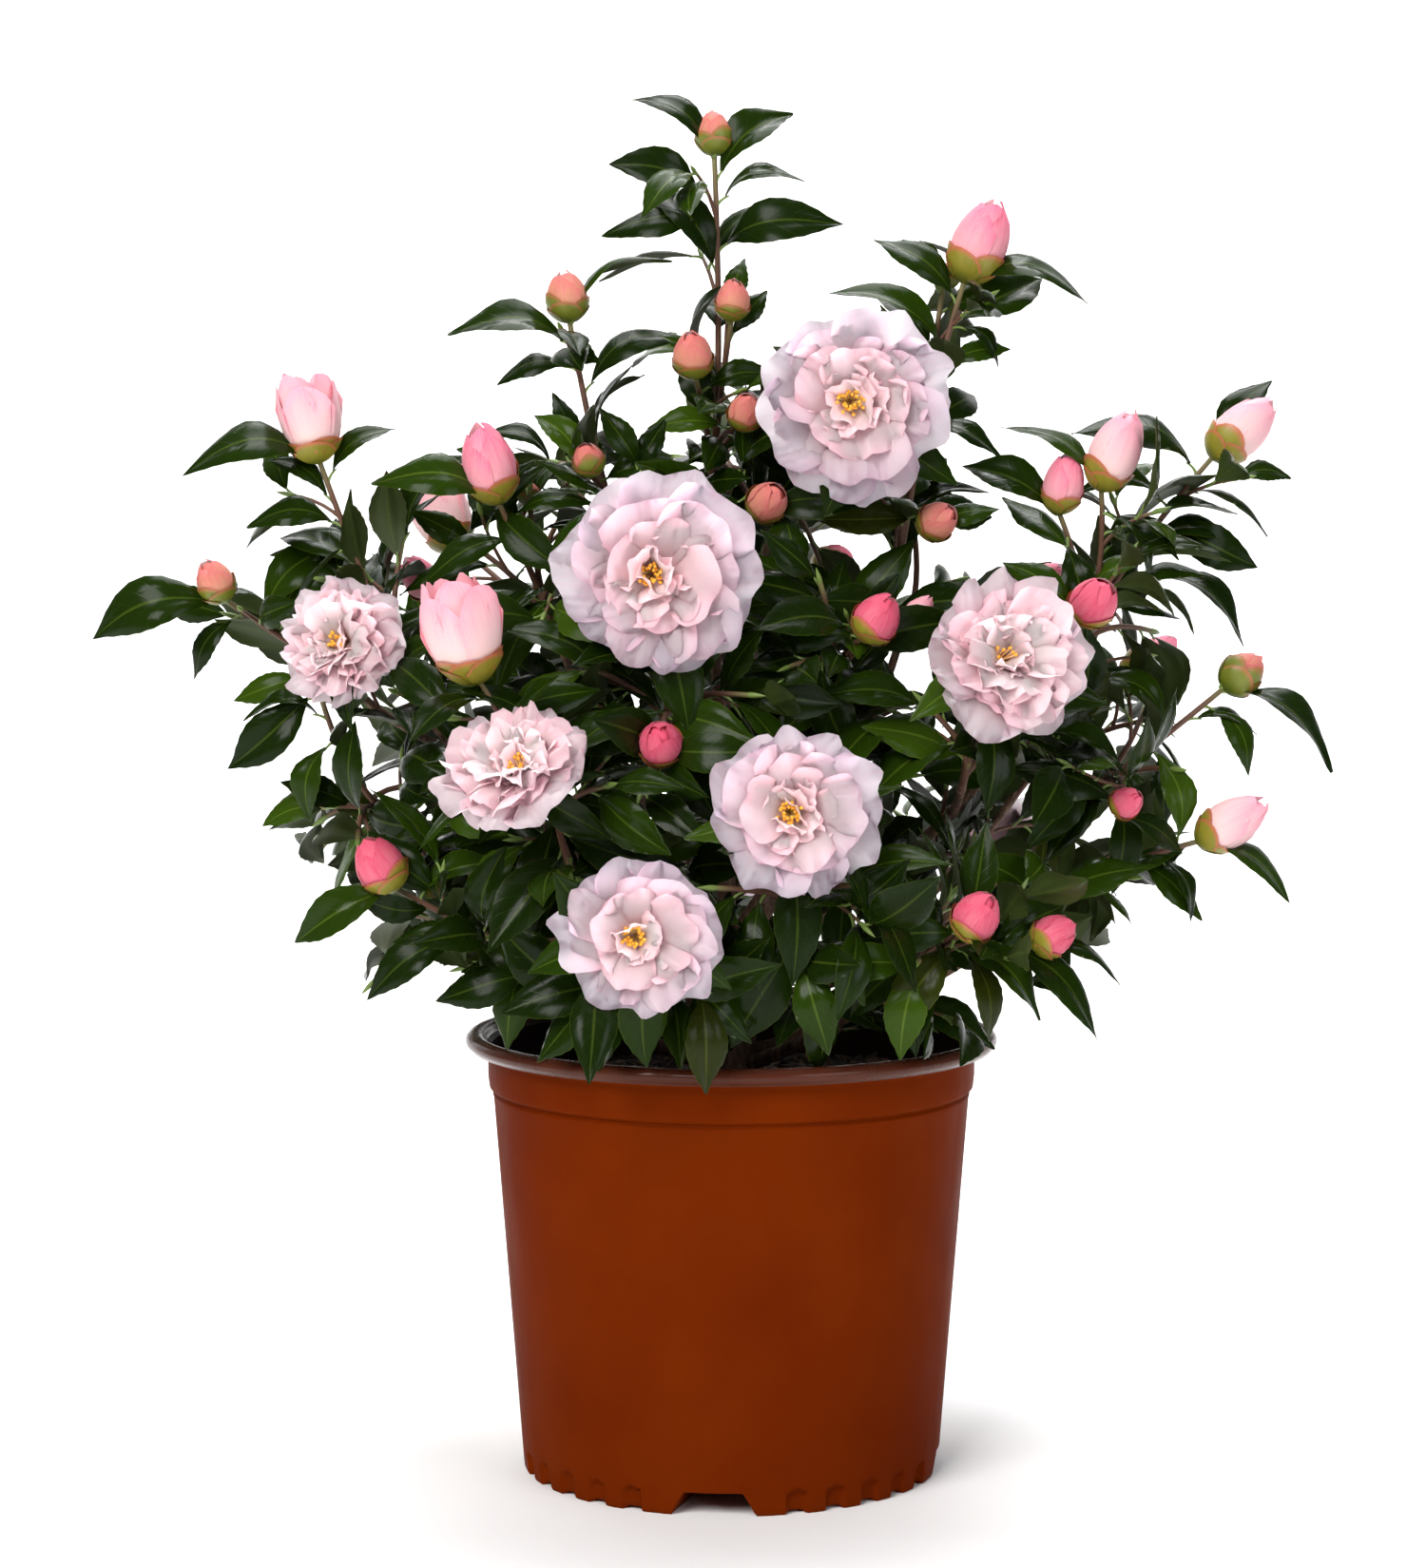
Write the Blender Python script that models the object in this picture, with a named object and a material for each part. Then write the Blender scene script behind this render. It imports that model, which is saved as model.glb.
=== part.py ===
"""A camellia shrub in bloom, growing in a round plastic nursery pot.

Metres, +Z up. The origin is the middle of the pot's flat underside, and the
shrub's fuller, blooming face looks along -Y. The pot and its potting mix carry
a short trunk. Boughs fork from the trunk and from each other, and each ends
where it enters a mass of foliage: one stem, its twigs, leaves, buds and blooms.
"""

import math
import random

import bmesh
import bpy
import numpy as np
from mathutils import Matrix, Vector
from mathutils.bvhtree import BVHTree

MM = 0.001
CLEAR = 0.3 * MM  # between two pieces that touch
SEED = 4127

# The pot, turned about Z.
POT_HEIGHT = 0.232
POT_FOOT_RADIUS = 0.1084
POT_BAND_RADIUS = 0.1265  # of the wall at the step under the rim
POT_BAND_FOOT = 0.203
POT_WALL = 2.0 * MM
LIP_RADIUS = 0.140
LIP_DEPTH = 8.0 * MM
POT_FLOOR = 3.0 * MM
POT_SIDES = 32
NOTCHES = 4
NOTCH_HEIGHT = 12.0 * MM
NOTCH_TOP = 30.0 * MM
NOTCH_FOOT = 44.0 * MM
NOTCH_REACH = 9.0 * MM  # how far a notch cuts in under the pot's edge
NOTCH_TURN = math.radians(-92)

# The potting mix.
SOIL_LEVEL = 0.204
SOIL_CROWN = 3.0 * MM

# The trunk, from the mix to its fork.
TRUNK_TOP = Vector((-0.002, 0.006, 0.292))
TRUNK_COLLAR = 8 * MM  # the upright flare at its foot
TRUNK_RISES = (0.0, 0.35, 0.75, 1.0)  # above the collar
TRUNK_RADII = (17.5 * MM, 14.0 * MM, 12.5 * MM, 11.0 * MM, 9.0 * MM)
TRUNK_SIDES = 9

# Limbs and twigs.
BOUGH_SIDES = 5
BOUGH_SPANS = 3
BOUGH_FOOT = 4.3 * MM
BOUGH_TIP = 2.3 * MM
BOUGH_SEAT = 0.8  # a bough's foot, at most, of its parent's radius there
BOUGH_OUT = 0.62  # how far out, and how far up, a bough has come at its bend
BOUGH_UP = 0.36
STEM_TIP = 2.0 * MM  # a mass's stem, where its twigs fork
STEM_SHARE = 0.34  # its length, of the way to the middle of its shoots' ends
STEM_LEAST = 14 * MM
FORK_TOP = 0.94  # how far up the stem its twigs fork, by turns
FORK_STEP = 0.30
TWIG_FOOT = 1.2 * MM
TWIG_TIP = 1.0 * MM
TWIG_SPANS = 2
TWIG_BEND = 0.38  # of its length, in which a twig still runs as its stem does
SIDE_TWIG = (34 * MM, 50 * MM)  # how long a side twig may be
SIDE_TWIG_GAP = 110 * MM  # along a shoot, from one to the next

# Leaves: a folded, arched blade with a pointed tip.
LEAF_LENGTH = (50 * MM, 68 * MM)
LEAF_WIDTH = 0.48  # of its length
LEAF_THICK = 1.0 * MM
LEAF_ARCH = 0.13
LEAF_FOLD = 0.16
FIRST_LEAF = 4 * MM  # below the shoot's tip
LEAF_GAP = 12 * MM  # along a shoot, from one leaf to the next
LEAF_TURN = math.radians(144)  # round a shoot, from one leaf to the next
LEAF_CLEAR = 0.8 * MM
LEAF_SUNK = 0.4 * MM  # its root, past the middle of its twig
RULE_GAP = 50 * MM  # the same, below the leaves whose way is stated
# How a leaf may turn (degrees) and shrink to find room.
LEAF_TRIES = ((0, 1), (0, 0.86), (20, 1), (-20, 1), (40, 0.9), (-40, 0.9), (65, 0.86), (-65, 0.86))

LEAF_GREEN = (0.022, 0.075, 0.020)
BARK_BROWN = (0.150, 0.075, 0.045)
POT_BROWN = (0.230, 0.048, 0.012)
SOIL_BROWN = (0.040, 0.026, 0.018)


def bud(width):
    """A closed bud, by its width in millimetres."""
    return "bud", width, None


def opening(width):
    """A bud whose petals have begun to part."""
    return "opening", width, None


def bloom(width, *facing):
    """An open bloom, by its width in millimetres and the way it faces."""
    return "bloom", width, facing


SMALLEST_BUD = 15  # millimetres wide; a smaller one is too slight to be solid

TUFT = ("tuft", 0, None)  # a shoot that ends in leaves

# The crown. Each mass of foliage has its name, the limb that its bough leaves, how
# far up that limb it leaves, and where the bough ends (mm). Its shoots follow: where
# each ends (mm), what it bears, and its upper leaves from the tip down. A leaf is the
# way it points, as an hour on a clock seen from the front, and may give its length
# (mm) after a colon. The later leaves follow the rule.
CROWN = (
    ("leader", "trunk", 1.00, (-10, 20, 500), (
        (-9, 0, 690, bud(19), "10.2:56 1.6:56 2.5:48 8.9:60 2.6:68 10.7:62"),
        (0, -22, 604, bud(18), "0.4:36 1.2:36 9.5"),
        (-19, -28, 575, bud(21), "8.3 2.5:40 10"),
        (5, -30, 549, bud(18), "2.8:44 9:44 4"),
        (14, -42, 505, bud(21), "3 8.5 11"),
    )),
    ("high_left", "leader", 0.50, (-58, -10, 490), (
        (-84, -12, 604, bud(22), "1.9:64 9.2:66 8.7:44 2.1:66"),
        (-72, -42, 525, bud(16), "10.5:44 2.6:44 8"),
        (-46, -40, 525, TUFT, "11:40 1:40 4"),
        (-92, 25, 530, TUFT, "9.6:46 11.5:40 8"),
    )),
    ("high_right", "trunk", 0.80, (84, -14, 470), (
        (121, -8, 626, bud(31), "3.3:66 10.3:56 4.3:32 9.9:68 2.4:40"),
        (110, 2, 621, bud(12), "10.8:36"),
        (63, -52, 560, bloom(98, 0, -1, -0.02), "2.0:46 10 3.5"),
        (99, -42, 496, bud(20), "2.6:40 9.5 4.4"),
        (96, 30, 550, TUFT, "3.6:50 1:44 9"),
    )),
    ("right_high", "trunk", 0.62, (172, 0, 420), (
        (255, 18, 535, bud(28), "1.3:54 9.6:70 3.9:52 9.3:50 3.7:60 2.9:50"),
        (191, -18, 519, bud(28), "10.1:62 5:46 3.6:42"),
        (169, -14, 506, bud(22), "9.9:58 5.6:50"),
        (178, -58, 452, bud(25), "10.1:50 4 8.5"),
        (222, 30, 472, TUFT, "4.2:64 5.2 2.6:50 3.1"),
        (226, 55, 440, TUFT, "4.3 5 2.2"),
    )),
    ("right_mid", "right_high", 0.62, (118, -52, 366), (
        (132, -96, 428, bloom(88, 0.28, -0.9, 0.3), "8.6 3.5 6"),
        (98, -78, 408, TUFT, "9.3 11 8"),
        (158, -50, 395, TUFT, "3.2 4.8 2.2"),
    )),
    ("right_far", "trunk", 0.44, (182, 0, 350), (
        (259, 0, 413, bud(22), "4.2:72 4.9:44 3.4:40 10.2:50 5.6:44"),
        (195, -74, 355, bud(16), "3 9.5 5"),
        (222, 52, 398, TUFT, "1.8 4.4 3.2"),
        (228, -30, 372, TUFT, "5 4 2.4"),
    )),
    ("right_low", "trunk", 0.26, (160, -22, 300), (
        (243, -38, 336, bud(26), "4.1:58 11.7:50 5.0:40 4.3:48 1.6"),
        (205, -52, 318, TUFT, "4.6 5 2.8"),
        (190, 28, 318, TUFT, "4.0 3.0 5.3"),
    )),
    ("front_right_low", "trunk", 0.12, (86, -80, 274), (
        (114, -138, 300, bud(24), "8.9:52 7.1:58 4.3:60"),
        (150, -118, 291, bud(21), "3.8:52 4.5:66 2.2:48 5.4:50"),
        (90, -142, 285, TUFT, "9:50 6.4:52 7.6 4.8"),
    )),
    ("centre_right", "high_right", 0.50, (52, -46, 410), (
        (67, -84, 443, bud(24), "9 3 6.5"),
        (88, -64, 448, bud(13), "2.5 4.2"),
        (44, -84, 470, TUFT, "11 9.6 1.5 3"),
        (28, -96, 428, TUFT, "8.4 10 3.4"),
    )),
    ("front_high", "trunk", 0.60, (-30, -62, 385), (
        (-36, -104, 474, bloom(99, 0, -1, 0.04), "9.5 2.5 5.5"),
        (-35, -128, 388, bud(22), "3 9 5"),
        (-72, -92, 428, TUFT, "8 9.6 6.8"),
        (8, -110, 415, TUFT, "3.2 4.6 2"),
    )),
    ("front_right", "trunk", 0.36, (24, -98, 300), (
        (30, -156, 361, bloom(84, 0.02, -1, 0.05), "3 9 6"),
        (34, -146, 290, TUFT, "5.5:54 4.6:50 7.4:46 6.5:40"),
        (62, -148, 325, TUFT, "4.6 3.2 5.6"),
        (-8, -140, 322, TUFT, "8.6 7.3 6.5"),
    )),
    ("front_left", "trunk", 0.13, (-34, -92, 268), (
        (-44, -172, 303, bloom(80, -0.02, -1, 0.03), "4:50 8.5 6"),
        (-16, -146, 274, TUFT, "5.8:54 4.4:48 6.8:40 3.4"),
        (-66, -138, 270, TUFT, "7.4 8.5 5.6"),
    )),
    ("left_mid", "trunk", 0.48, (-80, -82, 340), (
        (-103, -150, 372, bloom(78, -0.22, -0.68, 0.7), "8 4 10"),
        (-127, -120, 426, opening(40), "10.4 8.2 2.4"),
        (-62, -138, 372, TUFT, "2.2 4.2 10.8"),
        (-80, -140, 330, TUFT, "5.5 7.2 3.6"),
    )),
    ("left_high", "leader", 0.10, (-88, -20, 434), (
        (-120, -48, 512, bud(29), "9.3:66 2.6:46 8.2 3.6"),
        (-104, -22, 508, bud(11), "1.6:40 3.2"),
        (-140, 4, 490, TUFT, "1.3:56 10:46 8.8 2"),
        (-74, -66, 470, TUFT, "1.5 10 3.4"),
    )),
    ("left_upper", "trunk", 0.68, (-160, -34, 405), (
        (-212, -40, 534, opening(34), "8.8:70 1.7:46 10.1:44 9.0:50 7.4"),
        (-190, -68, 436, bloom(70, -0.42, -0.86, 0.28), "8 2 10"),
        (-170, -20, 490, TUFT, "1.2:60 0.6 2.4 9"),
        (-186, 20, 470, TUFT, "11.4 9 1"),
    )),
    ("left_far", "left_upper", 0.86, (-205, -4, 420), (
        (-262, -28, 460, bud(20), "8.5:74 7.3:44 1.5:60 1.1:72"),
        (-236, 30, 448, TUFT, "9.4:54 8 10.6"),
        (-226, -30, 404, TUFT, "8.2 7.4 9.2"),
    )),
    ("left_low_far", "trunk", 0.30, (-170, -14, 338), (
        (-212, -36, 412, TUFT, "7.8:62 9.0:44 6.6:44"),
        (-208, -22, 352, bud(7), "8.5:42 9.6:44 7.0 10.4"),
        (-200, 34, 360, TUFT, "9 7.8 10.4"),
        (-190, -66, 338, TUFT, "8 9.4 10.6"),
    )),
    ("left_low", "trunk", 0.10, (-112, -66, 282), (
        (-170, -96, 318, bud(26), "8.1:60 2.2:46 9.4:44"),
        (-132, -112, 296, TUFT, "7.9:60 5.0:52 8.8:44"),
        (-176, -50, 300, TUFT, "8.2 7.6 9.2"),
        (-96, -116, 280, TUFT, "8.3:52 6.2:48 4.4"),
    )),
    ("back_high", "leader", 0.64, (20, 76, 490), opening(34)),
    ("back_high_left", "trunk", 0.76, (-92, 92, 426), bloom(88, -0.5, 1, 0.4)),
    ("back_high_right", "trunk", 0.72, (94, 96, 436), bud(26)),
    ("back_mid", "trunk", 0.56, (0, 148, 372), bloom(92, 0.1, 1, 0.2)),
    ("back_left", "trunk", 0.46, (-156, 104, 334), bloom(78, -0.9, 0.7, 0.2)),
    ("back_right", "trunk", 0.36, (158, 106, 348), bloom(84, 0.8, 0.8, 0.3)),
    ("back_low", "trunk", 0.24, (-4, 156, 280), bud(24)),
    ("back_low_left", "trunk", 0.16, (-112, 118, 276), bud(22)),
    ("back_low_right", "trunk", 0.08, (110, 120, 276), bloom(76, 0.5, 1, 0.0)),
)

# A back mass states only what its middle shoot bears. The others fan round that one,
# and bear these in turn.
FAN_BEARS = (bud(20), TUFT, TUFT, bud(23), TUFT, bud(18), TUFT)
FAN_SHOOTS = 4
FAN_REACH = (76 * MM, 100 * MM)
FAN_SPREAD = math.radians(54)


# Paths


def bend(start, middle, end, spans):
    """Points on a curve that leaves start towards middle and comes to end."""
    points = []
    for step in range(spans + 1):
        t = step / spans
        points.append(start * (1 - t) ** 2 + middle * (2 * t * (1 - t)) + end * t * t)
    return points


def taper(foot, tip, spans):
    return [foot + (tip - foot) * step / spans for step in range(spans + 1)]


def point_at(points, share):
    """The point this share of the way up a path, and the path's direction there."""
    place = share * (len(points) - 1)
    step = min(int(place), len(points) - 2)
    run = points[step + 1] - points[step]
    return points[step] + run * (place - step), run.normalized()


def point_below(points, distance):
    """The point this far down a path from its tip, or its foot, and the direction."""
    for low, high in zip(points[-2::-1], points[:0:-1]):
        run = high - low
        if distance <= run.length:
            return high - run.normalized() * distance, run.normalized()
        distance -= run.length
    return points[0], (points[1] - points[0]).normalized()


def length_of(points):
    return sum((high - low).length for low, high in zip(points, points[1:]))


def frames(points):
    """At each point of a path: its direction, and two directions square to it."""
    side = (points[1] - points[0]).orthogonal()
    found = []
    for step in range(len(points)):
        along = points[min(step + 1, len(points) - 1)] - points[max(step - 1, 0)]
        along.normalize()
        side = (side - along * side.dot(along)).normalized()
        found.append((along, side, along.cross(side)))
    return found


# The plant's plan: limbs, then each mass's twigs and what they bear


def outward(point):
    """Away from the plant's middle, level. The middle itself looks to the front."""
    level = Vector((point.x, point.y - 0.04, 0))
    return level.normalized() if level.length > MM else Vector((0, -1, 0))


def plan_limbs():
    """Each limb's points and radii, by name: the trunk, and a bough for each mass."""
    foot = Vector((0, 0, SOIL_LEVEL + SOIL_CROWN + CLEAR))
    collar = foot + Vector((0, 0, TRUNK_COLLAR))
    trunk = [foot] + [collar.lerp(TRUNK_TOP, rise) for rise in TRUNK_RISES]
    limbs = {"trunk": (trunk, list(TRUNK_RADII))}
    for name, parent, share, tip, _ in CROWN:
        points, radii = limbs[parent]
        start, _ = point_at(points, share)
        room = radii[0] + (radii[-1] - radii[0]) * share
        reach = Vector(tip) * MM - start
        middle = start + Vector((reach.x * BOUGH_OUT, reach.y * BOUGH_OUT, reach.z * BOUGH_UP))
        stout = min(BOUGH_FOOT, room * BOUGH_SEAT)
        path = bend(start, middle, start + reach, BOUGH_SPANS)
        limbs[name] = (path, taper(stout, BOUGH_TIP, BOUGH_SPANS))
    return limbs


def fan(rng, name, tip, middle):
    """The shoots of a back mass: they fan outward and up from the bough's tip."""
    axis = (outward(tip) + Vector((0, 0, 0.5 if "low" in name else 0.85))).normalized()
    side = axis.cross(Vector((0, 0, 1))).normalized()
    rise = side.cross(axis)
    ends = [tip + axis * FAN_REACH[0] * (0.75 if middle[0] == "bloom" else 1.2)]
    first = rng.uniform(0, 2 * math.pi)
    for index in range(FAN_SHOOTS):
        turn = first + index * 2 * math.pi / FAN_SHOOTS
        round_axis = side * math.cos(turn) + rise * math.sin(turn)
        way = axis * math.cos(FAN_SPREAD) + round_axis * math.sin(FAN_SPREAD)
        ends.append(tip + way * rng.uniform(*FAN_REACH))
    bears = [middle] + [rng.choice(FAN_BEARS) for _ in range(FAN_SHOOTS)]
    return [(*(end / MM), borne, "") for end, borne in zip(ends, bears)]


def plan_twigs(rng, limb, shoots):
    """One stem on from the bough's tip, and a twig from it to the end of each shoot."""
    points, radii = limb
    along = (points[-1] - points[-2]).normalized()
    start = points[-1] + along * CLEAR
    ends = [Vector(shoot[:3]) * MM for shoot in shoots]
    middle = sum(ends, Vector()) / len(ends)
    lead = (along * 0.5 + (middle - start).normalized() * 0.5).normalized()
    run = max(STEM_LEAST, (middle - start).length * STEM_SHARE)
    stem = bend(start, start + along * run * 0.5, start + lead * run, 2)
    twigs = [(stem, taper(radii[-1] * 0.95, STEM_TIP, 2), None, "")]
    for index, (end, shoot) in enumerate(zip(ends, shoots)):
        fork, way = point_at(stem, FORK_TOP - FORK_STEP * (index % 3))
        reach = end - fork
        path = bend(fork, fork + way * reach.length * TWIG_BEND, end, TWIG_SPANS)
        twigs.append((path, taper(TWIG_FOOT, TWIG_TIP, TWIG_SPANS), shoot[3], shoot[4]))
    return twigs


def clock(hour, depth):
    """The direction of an hour on a clock seen from the front, tipped in depth."""
    turn = math.radians(hour * 30)
    return Vector((math.sin(turn), depth, math.cos(turn))).normalized()


# Room for the leaves: each mass keeps to the points nearest to its own twigs


LIMB = -1  # the owner of the trunk and boughs in a Room


class Room:
    """Where the limbs, twigs and blooms run, as straight lines with a radius."""

    def __init__(self):
        self.lines = []

    def add(self, owner, points, radii):
        for low, high, radius in zip(points, points[1:], radii):
            self.lines.append((owner, low, high, radius))

    def freeze(self):
        """Lay the lines out as arrays, for the many distances to come."""
        self.owners = np.array([line[0] for line in self.lines])
        self.lows = np.array([tuple(line[1]) for line in self.lines])
        self.runs = np.array([tuple(line[2] - line[1]) for line in self.lines])
        self.radii = np.array([line[3] for line in self.lines])
        self.squares = (self.runs ** 2).sum(axis=1)

    def gaps(self, points):
        """The gap from each point to each line: one row for each point."""
        away = np.array([tuple(point) for point in points])[:, None] - self.lows
        share = np.clip((away * self.runs).sum(axis=2) / self.squares, 0, 1)
        return np.linalg.norm(away - share[..., None] * self.runs, axis=2) - self.radii

    def holds(self, owner, points, sunk=0):
        """Whether points lie in their mass's own space, off every limb and the pot.

        The first points, as many as are sunk, are inside their twig.
        """
        if any(in_pot(point) for point in points):
            return False
        gaps = self.gaps(points[sunk:])
        if gaps[:, self.owners == LIMB].min() < LEAF_CLEAR:
            return False
        own = gaps[:, self.owners == owner].min(axis=1)
        others = (self.owners != owner) & (self.owners != LIMB)
        return bool((gaps[:, others].min(axis=1) - own).min() > 2 * LEAF_CLEAR)


def in_pot(point):
    """Whether a point is in the pot's wall, its lip or the mix, or within 1.5 mm."""
    reach = math.hypot(point.x, point.y)
    if point.z > POT_HEIGHT + 1.5 * MM or reach > LIP_RADIUS + 1.5 * MM:
        return False
    inside = POT_BAND_RADIUS - POT_WALL - 1.5 * MM
    if reach < inside:
        return point.z < SOIL_LEVEL + SOIL_CROWN + 1.5 * MM
    return reach < POT_BAND_RADIUS + 1.5 * MM or point.z > POT_HEIGHT - LIP_DEPTH - 1.5 * MM


# Leaves


def leaf_points(root, way, face, length):
    """A folded, arched leaf: root, tip, two edges, and the midrib's two sides."""
    face = (face - way * face.dot(way)).normalized()
    side = way.cross(face)
    half = LEAF_WIDTH * length / 2
    rib = root + way * length * 0.46 + face * LEAF_ARCH * length
    lift = face * LEAF_FOLD * half
    thick = face * LEAF_THICK / 2
    edges = (rib + side * half + lift, rib - side * half + lift)
    return [root, root + way * length, *edges, rib + thick, rib - thick]


LEAF_FACES = (
    (0, 2, 4), (0, 4, 3), (1, 4, 2), (1, 3, 4),
    (0, 5, 2), (0, 3, 5), (1, 2, 5), (1, 5, 3),
)


def leaf_samples(points):
    """Points over a leaf, for the tests of its room. The first is at its root."""
    root, tip, left, right, top, under = points
    middles = [(a + b) / 2 for a, b in ((root, left), (root, right), (left, tip), (right, tip))]
    quarters = [root.lerp(top, 0.4), top.lerp(tip, 0.5)]
    return [root.lerp(top, 0.1), tip, left, right, top, under, *middles, *quarters]


def stated_leaves(rng, room, owner, twig, grown):
    """The upper leaves of a shoot, that its row of the crown states."""
    path, _, _, stated = twig
    leaves = []
    for index, words in enumerate(stated.split()):
        foot, along = point_below(path, FIRST_LEAF + index * LEAF_GAP)
        hour, _, long = words.partition(":")
        depth = 0.3 * math.sin(rng.uniform(0, 2 * math.pi)) + 0.12 * outward(foot).y
        length = rng.uniform(*LEAF_LENGTH)
        if long:
            depth *= 0.5
            length = float(long) * MM
        way = clock(float(hour), depth)
        leaves += place_leaf(room, owner, foot, along, way, length, grown)
    return leaves


def rule_leaves(rng, room, owner, twig, grown):
    """The leaves of a twig below the stated ones, that turn round it by the rule."""
    path, _, _, stated = twig
    below = FIRST_LEAF + len(stated.split()) * LEAF_GAP
    turn = rng.uniform(0, 2 * math.pi)
    leaves = []
    while below < length_of(path):
        foot, along = point_below(path, below)
        side = Matrix.Rotation(turn, 3, along) @ along.orthogonal().normalized()
        way = (side + along * 0.55 + outward(foot) * 0.2).normalized()
        leaves += place_leaf(room, owner, foot, along, way, rng.uniform(*LEAF_LENGTH), grown)
        turn += LEAF_TURN
        below += RULE_GAP
    return leaves


def place_leaf(room, owner, foot, along, way, length, grown):
    """A leaf that keeps to its room: turned or shortened as it must, or none.

    It keeps clear of grown, which takes in each leaf that is placed.
    """
    face = along * 0.4 + Vector((0, 0, 0.4)) + outward(foot) * 0.7
    for turn, size in LEAF_TRIES:
        aim = Matrix.Rotation(math.radians(turn), 3, along) @ way
        points = leaf_points(foot - aim * LEAF_SUNK, aim, face, length * size)
        if not room.holds(owner, leaf_samples(points), sunk=1):
            continue
        tree = BVHTree.FromPolygons(points, LEAF_FACES)
        if not any(tree.overlap(other) for other in grown):
            grown.append(tree)
            return [(points, LEAF_FACES)]
    return []


# Closed bodies, each as its points and faces


def turned(profile, middle, along, side, rise, sides):
    """A body turned about an axis: rows of (height, radius), with a point at each end."""
    points = [middle + along * profile[0][0]]
    for height, radius in profile[1:-1]:
        for step in range(sides):
            turn = 2 * math.pi * step / sides
            reach = side * math.cos(turn) + rise * math.sin(turn)
            points.append(middle + along * height + reach * radius)
    points.append(middle + along * profile[-1][0])
    last = len(points) - 1
    rows = len(profile) - 2
    faces = []
    for step in range(sides):
        after = (step + 1) % sides
        faces.append((0, 1 + after, 1 + step))
        faces.append((last, last - sides + step, last - sides + after))
        for row in range(rows - 1):
            low = 1 + row * sides
            faces.append((low + step, low + after, low + sides + after, low + sides + step))
    return points, faces


def tube(path, radii, sides, grow=0.0):
    """A tapering limb with flat ends; grow makes it larger all round."""
    path = list(path)
    if grow:
        path[0] = path[0] - (path[1] - path[0]).normalized() * grow
        path[-1] = path[-1] + (path[-1] - path[-2]).normalized() * grow
    spread = grow / math.cos(math.pi / sides)
    points = []
    for point, (_, side, rise), radius in zip(path, frames(path), radii):
        for step in range(sides):
            turn = 2 * math.pi * step / sides
            reach = side * math.cos(turn) + rise * math.sin(turn)
            points.append(point + reach * (radius + spread))
    faces = [tuple(range(sides - 1, -1, -1)), tuple(range(len(points) - sides, len(points)))]
    for row in range(len(path) - 1):
        for step in range(sides):
            after = (step + 1) % sides
            low = row * sides
            faces.append((low + step, low + after, low + sides + after, low + sides + step))
    return points, faces


def bud_body(tip, along, width, kind):
    """An egg-shaped bud on the end of its shoot, taller once it is opening."""
    _, side, rise = frames([tip, tip + along])[0]
    tall = width * (1.32 if kind == "opening" else 1.15)
    profile = (
        (-0.10 * tall, 0), (0.06 * tall, 0.27 * width), (0.42 * tall, 0.5 * width),
        (0.78 * tall, 0.38 * width), (tall, 0),
    )
    return turned(profile, tip, along, side, rise, 5)


BLOOM_LOBES = 8
# Rows of a bloom from its back to its middle: height, radius, and how deep its lobes
# are cut, all as shares of its width.
BLOOM_ROWS = (
    (-0.18, 0.10, 0.0), (-0.03, 0.46, 0.04), (0.01, 0.50, 0.06), (0.12, 0.30, 0.03),
)
BLOOM_CALYX = -0.27  # the height of its back, and of its raised middle
BLOOM_CROWN = 0.13
BLOOM_DEPTH = 0.24  # from its shoot's tip to the middle of its rim


def bloom_body(rng, heart, facing, width):
    """An open bloom: a ruffled, lobed dish of petals about a raised middle."""
    along, side, rise = frames([heart, heart + facing])[0]
    sides = 2 * BLOOM_LOBES
    points = [heart + along * BLOOM_CALYX * width]
    for height, radius, cut in BLOOM_ROWS:
        for step in range(sides):
            turn = 2 * math.pi * step / sides
            lobe = cut * (step % 2) * rng.uniform(0.6, 1.4)
            reach = side * math.cos(turn) + rise * math.sin(turn)
            ruffle = rng.uniform(-0.5, 0.5) * cut * width
            points.append(heart + reach * (radius - lobe) * width + along * (height * width + ruffle))
    points.append(heart + along * BLOOM_CROWN * width)
    last = len(points) - 1
    faces = []
    for step in range(sides):
        after = (step + 1) % sides
        faces.append((0, 1 + after, 1 + step))
        faces.append((last, last - sides + step, last - sides + after))
        for row in range(len(BLOOM_ROWS) - 1):
            low = 1 + row * sides
            faces.append((low + step, low + after, low + sides + step))
            faces.append((low + after, low + sides + after, low + sides + step))
    return points, faces


# Objects


def material(name, colour, roughness):
    made = bpy.data.materials.new(name)
    made.use_nodes = True
    shader = made.node_tree.nodes["Principled BSDF"]
    shader.inputs["Base Color"].default_value = (*colour, 1)
    shader.inputs["Roughness"].default_value = roughness
    shader.inputs["Metallic"].default_value = 0
    return made


def solid(name, body, finish):
    """An object of one closed body, in the scene."""
    points, faces = body
    mesh = bpy.data.meshes.new(name)
    mesh.from_pydata([tuple(point) for point in points], [], faces)
    mesh.materials.append(finish)
    made = bpy.data.objects.new(name, mesh)
    bpy.context.scene.collection.objects.link(made)
    return made


def apply_modifiers(made):
    graph = bpy.context.evaluated_depsgraph_get()
    mesh = bpy.data.meshes.new_from_object(made.evaluated_get(graph))
    made.modifiers.clear()
    made.data = mesh


def keep_outer_shell(made):
    """Drop loose scraps and the walls of sealed hollows: the largest shell stays."""
    work = bmesh.new()
    work.from_mesh(made.data)
    left = set(work.verts)
    shells = []
    while left:
        shell = set()
        edge = [left.pop()]
        while edge:
            vert = edge.pop()
            shell.add(vert)
            near = {link.other_vert(vert) for link in vert.link_edges} - shell
            edge.extend(near & left)
            left -= near
        shells.append(shell)
    shells.sort(key=len)
    for shell in shells[:-1]:
        bmesh.ops.delete(work, geom=list(shell), context="VERTS")
    work.to_mesh(made.data)
    work.free()


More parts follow.
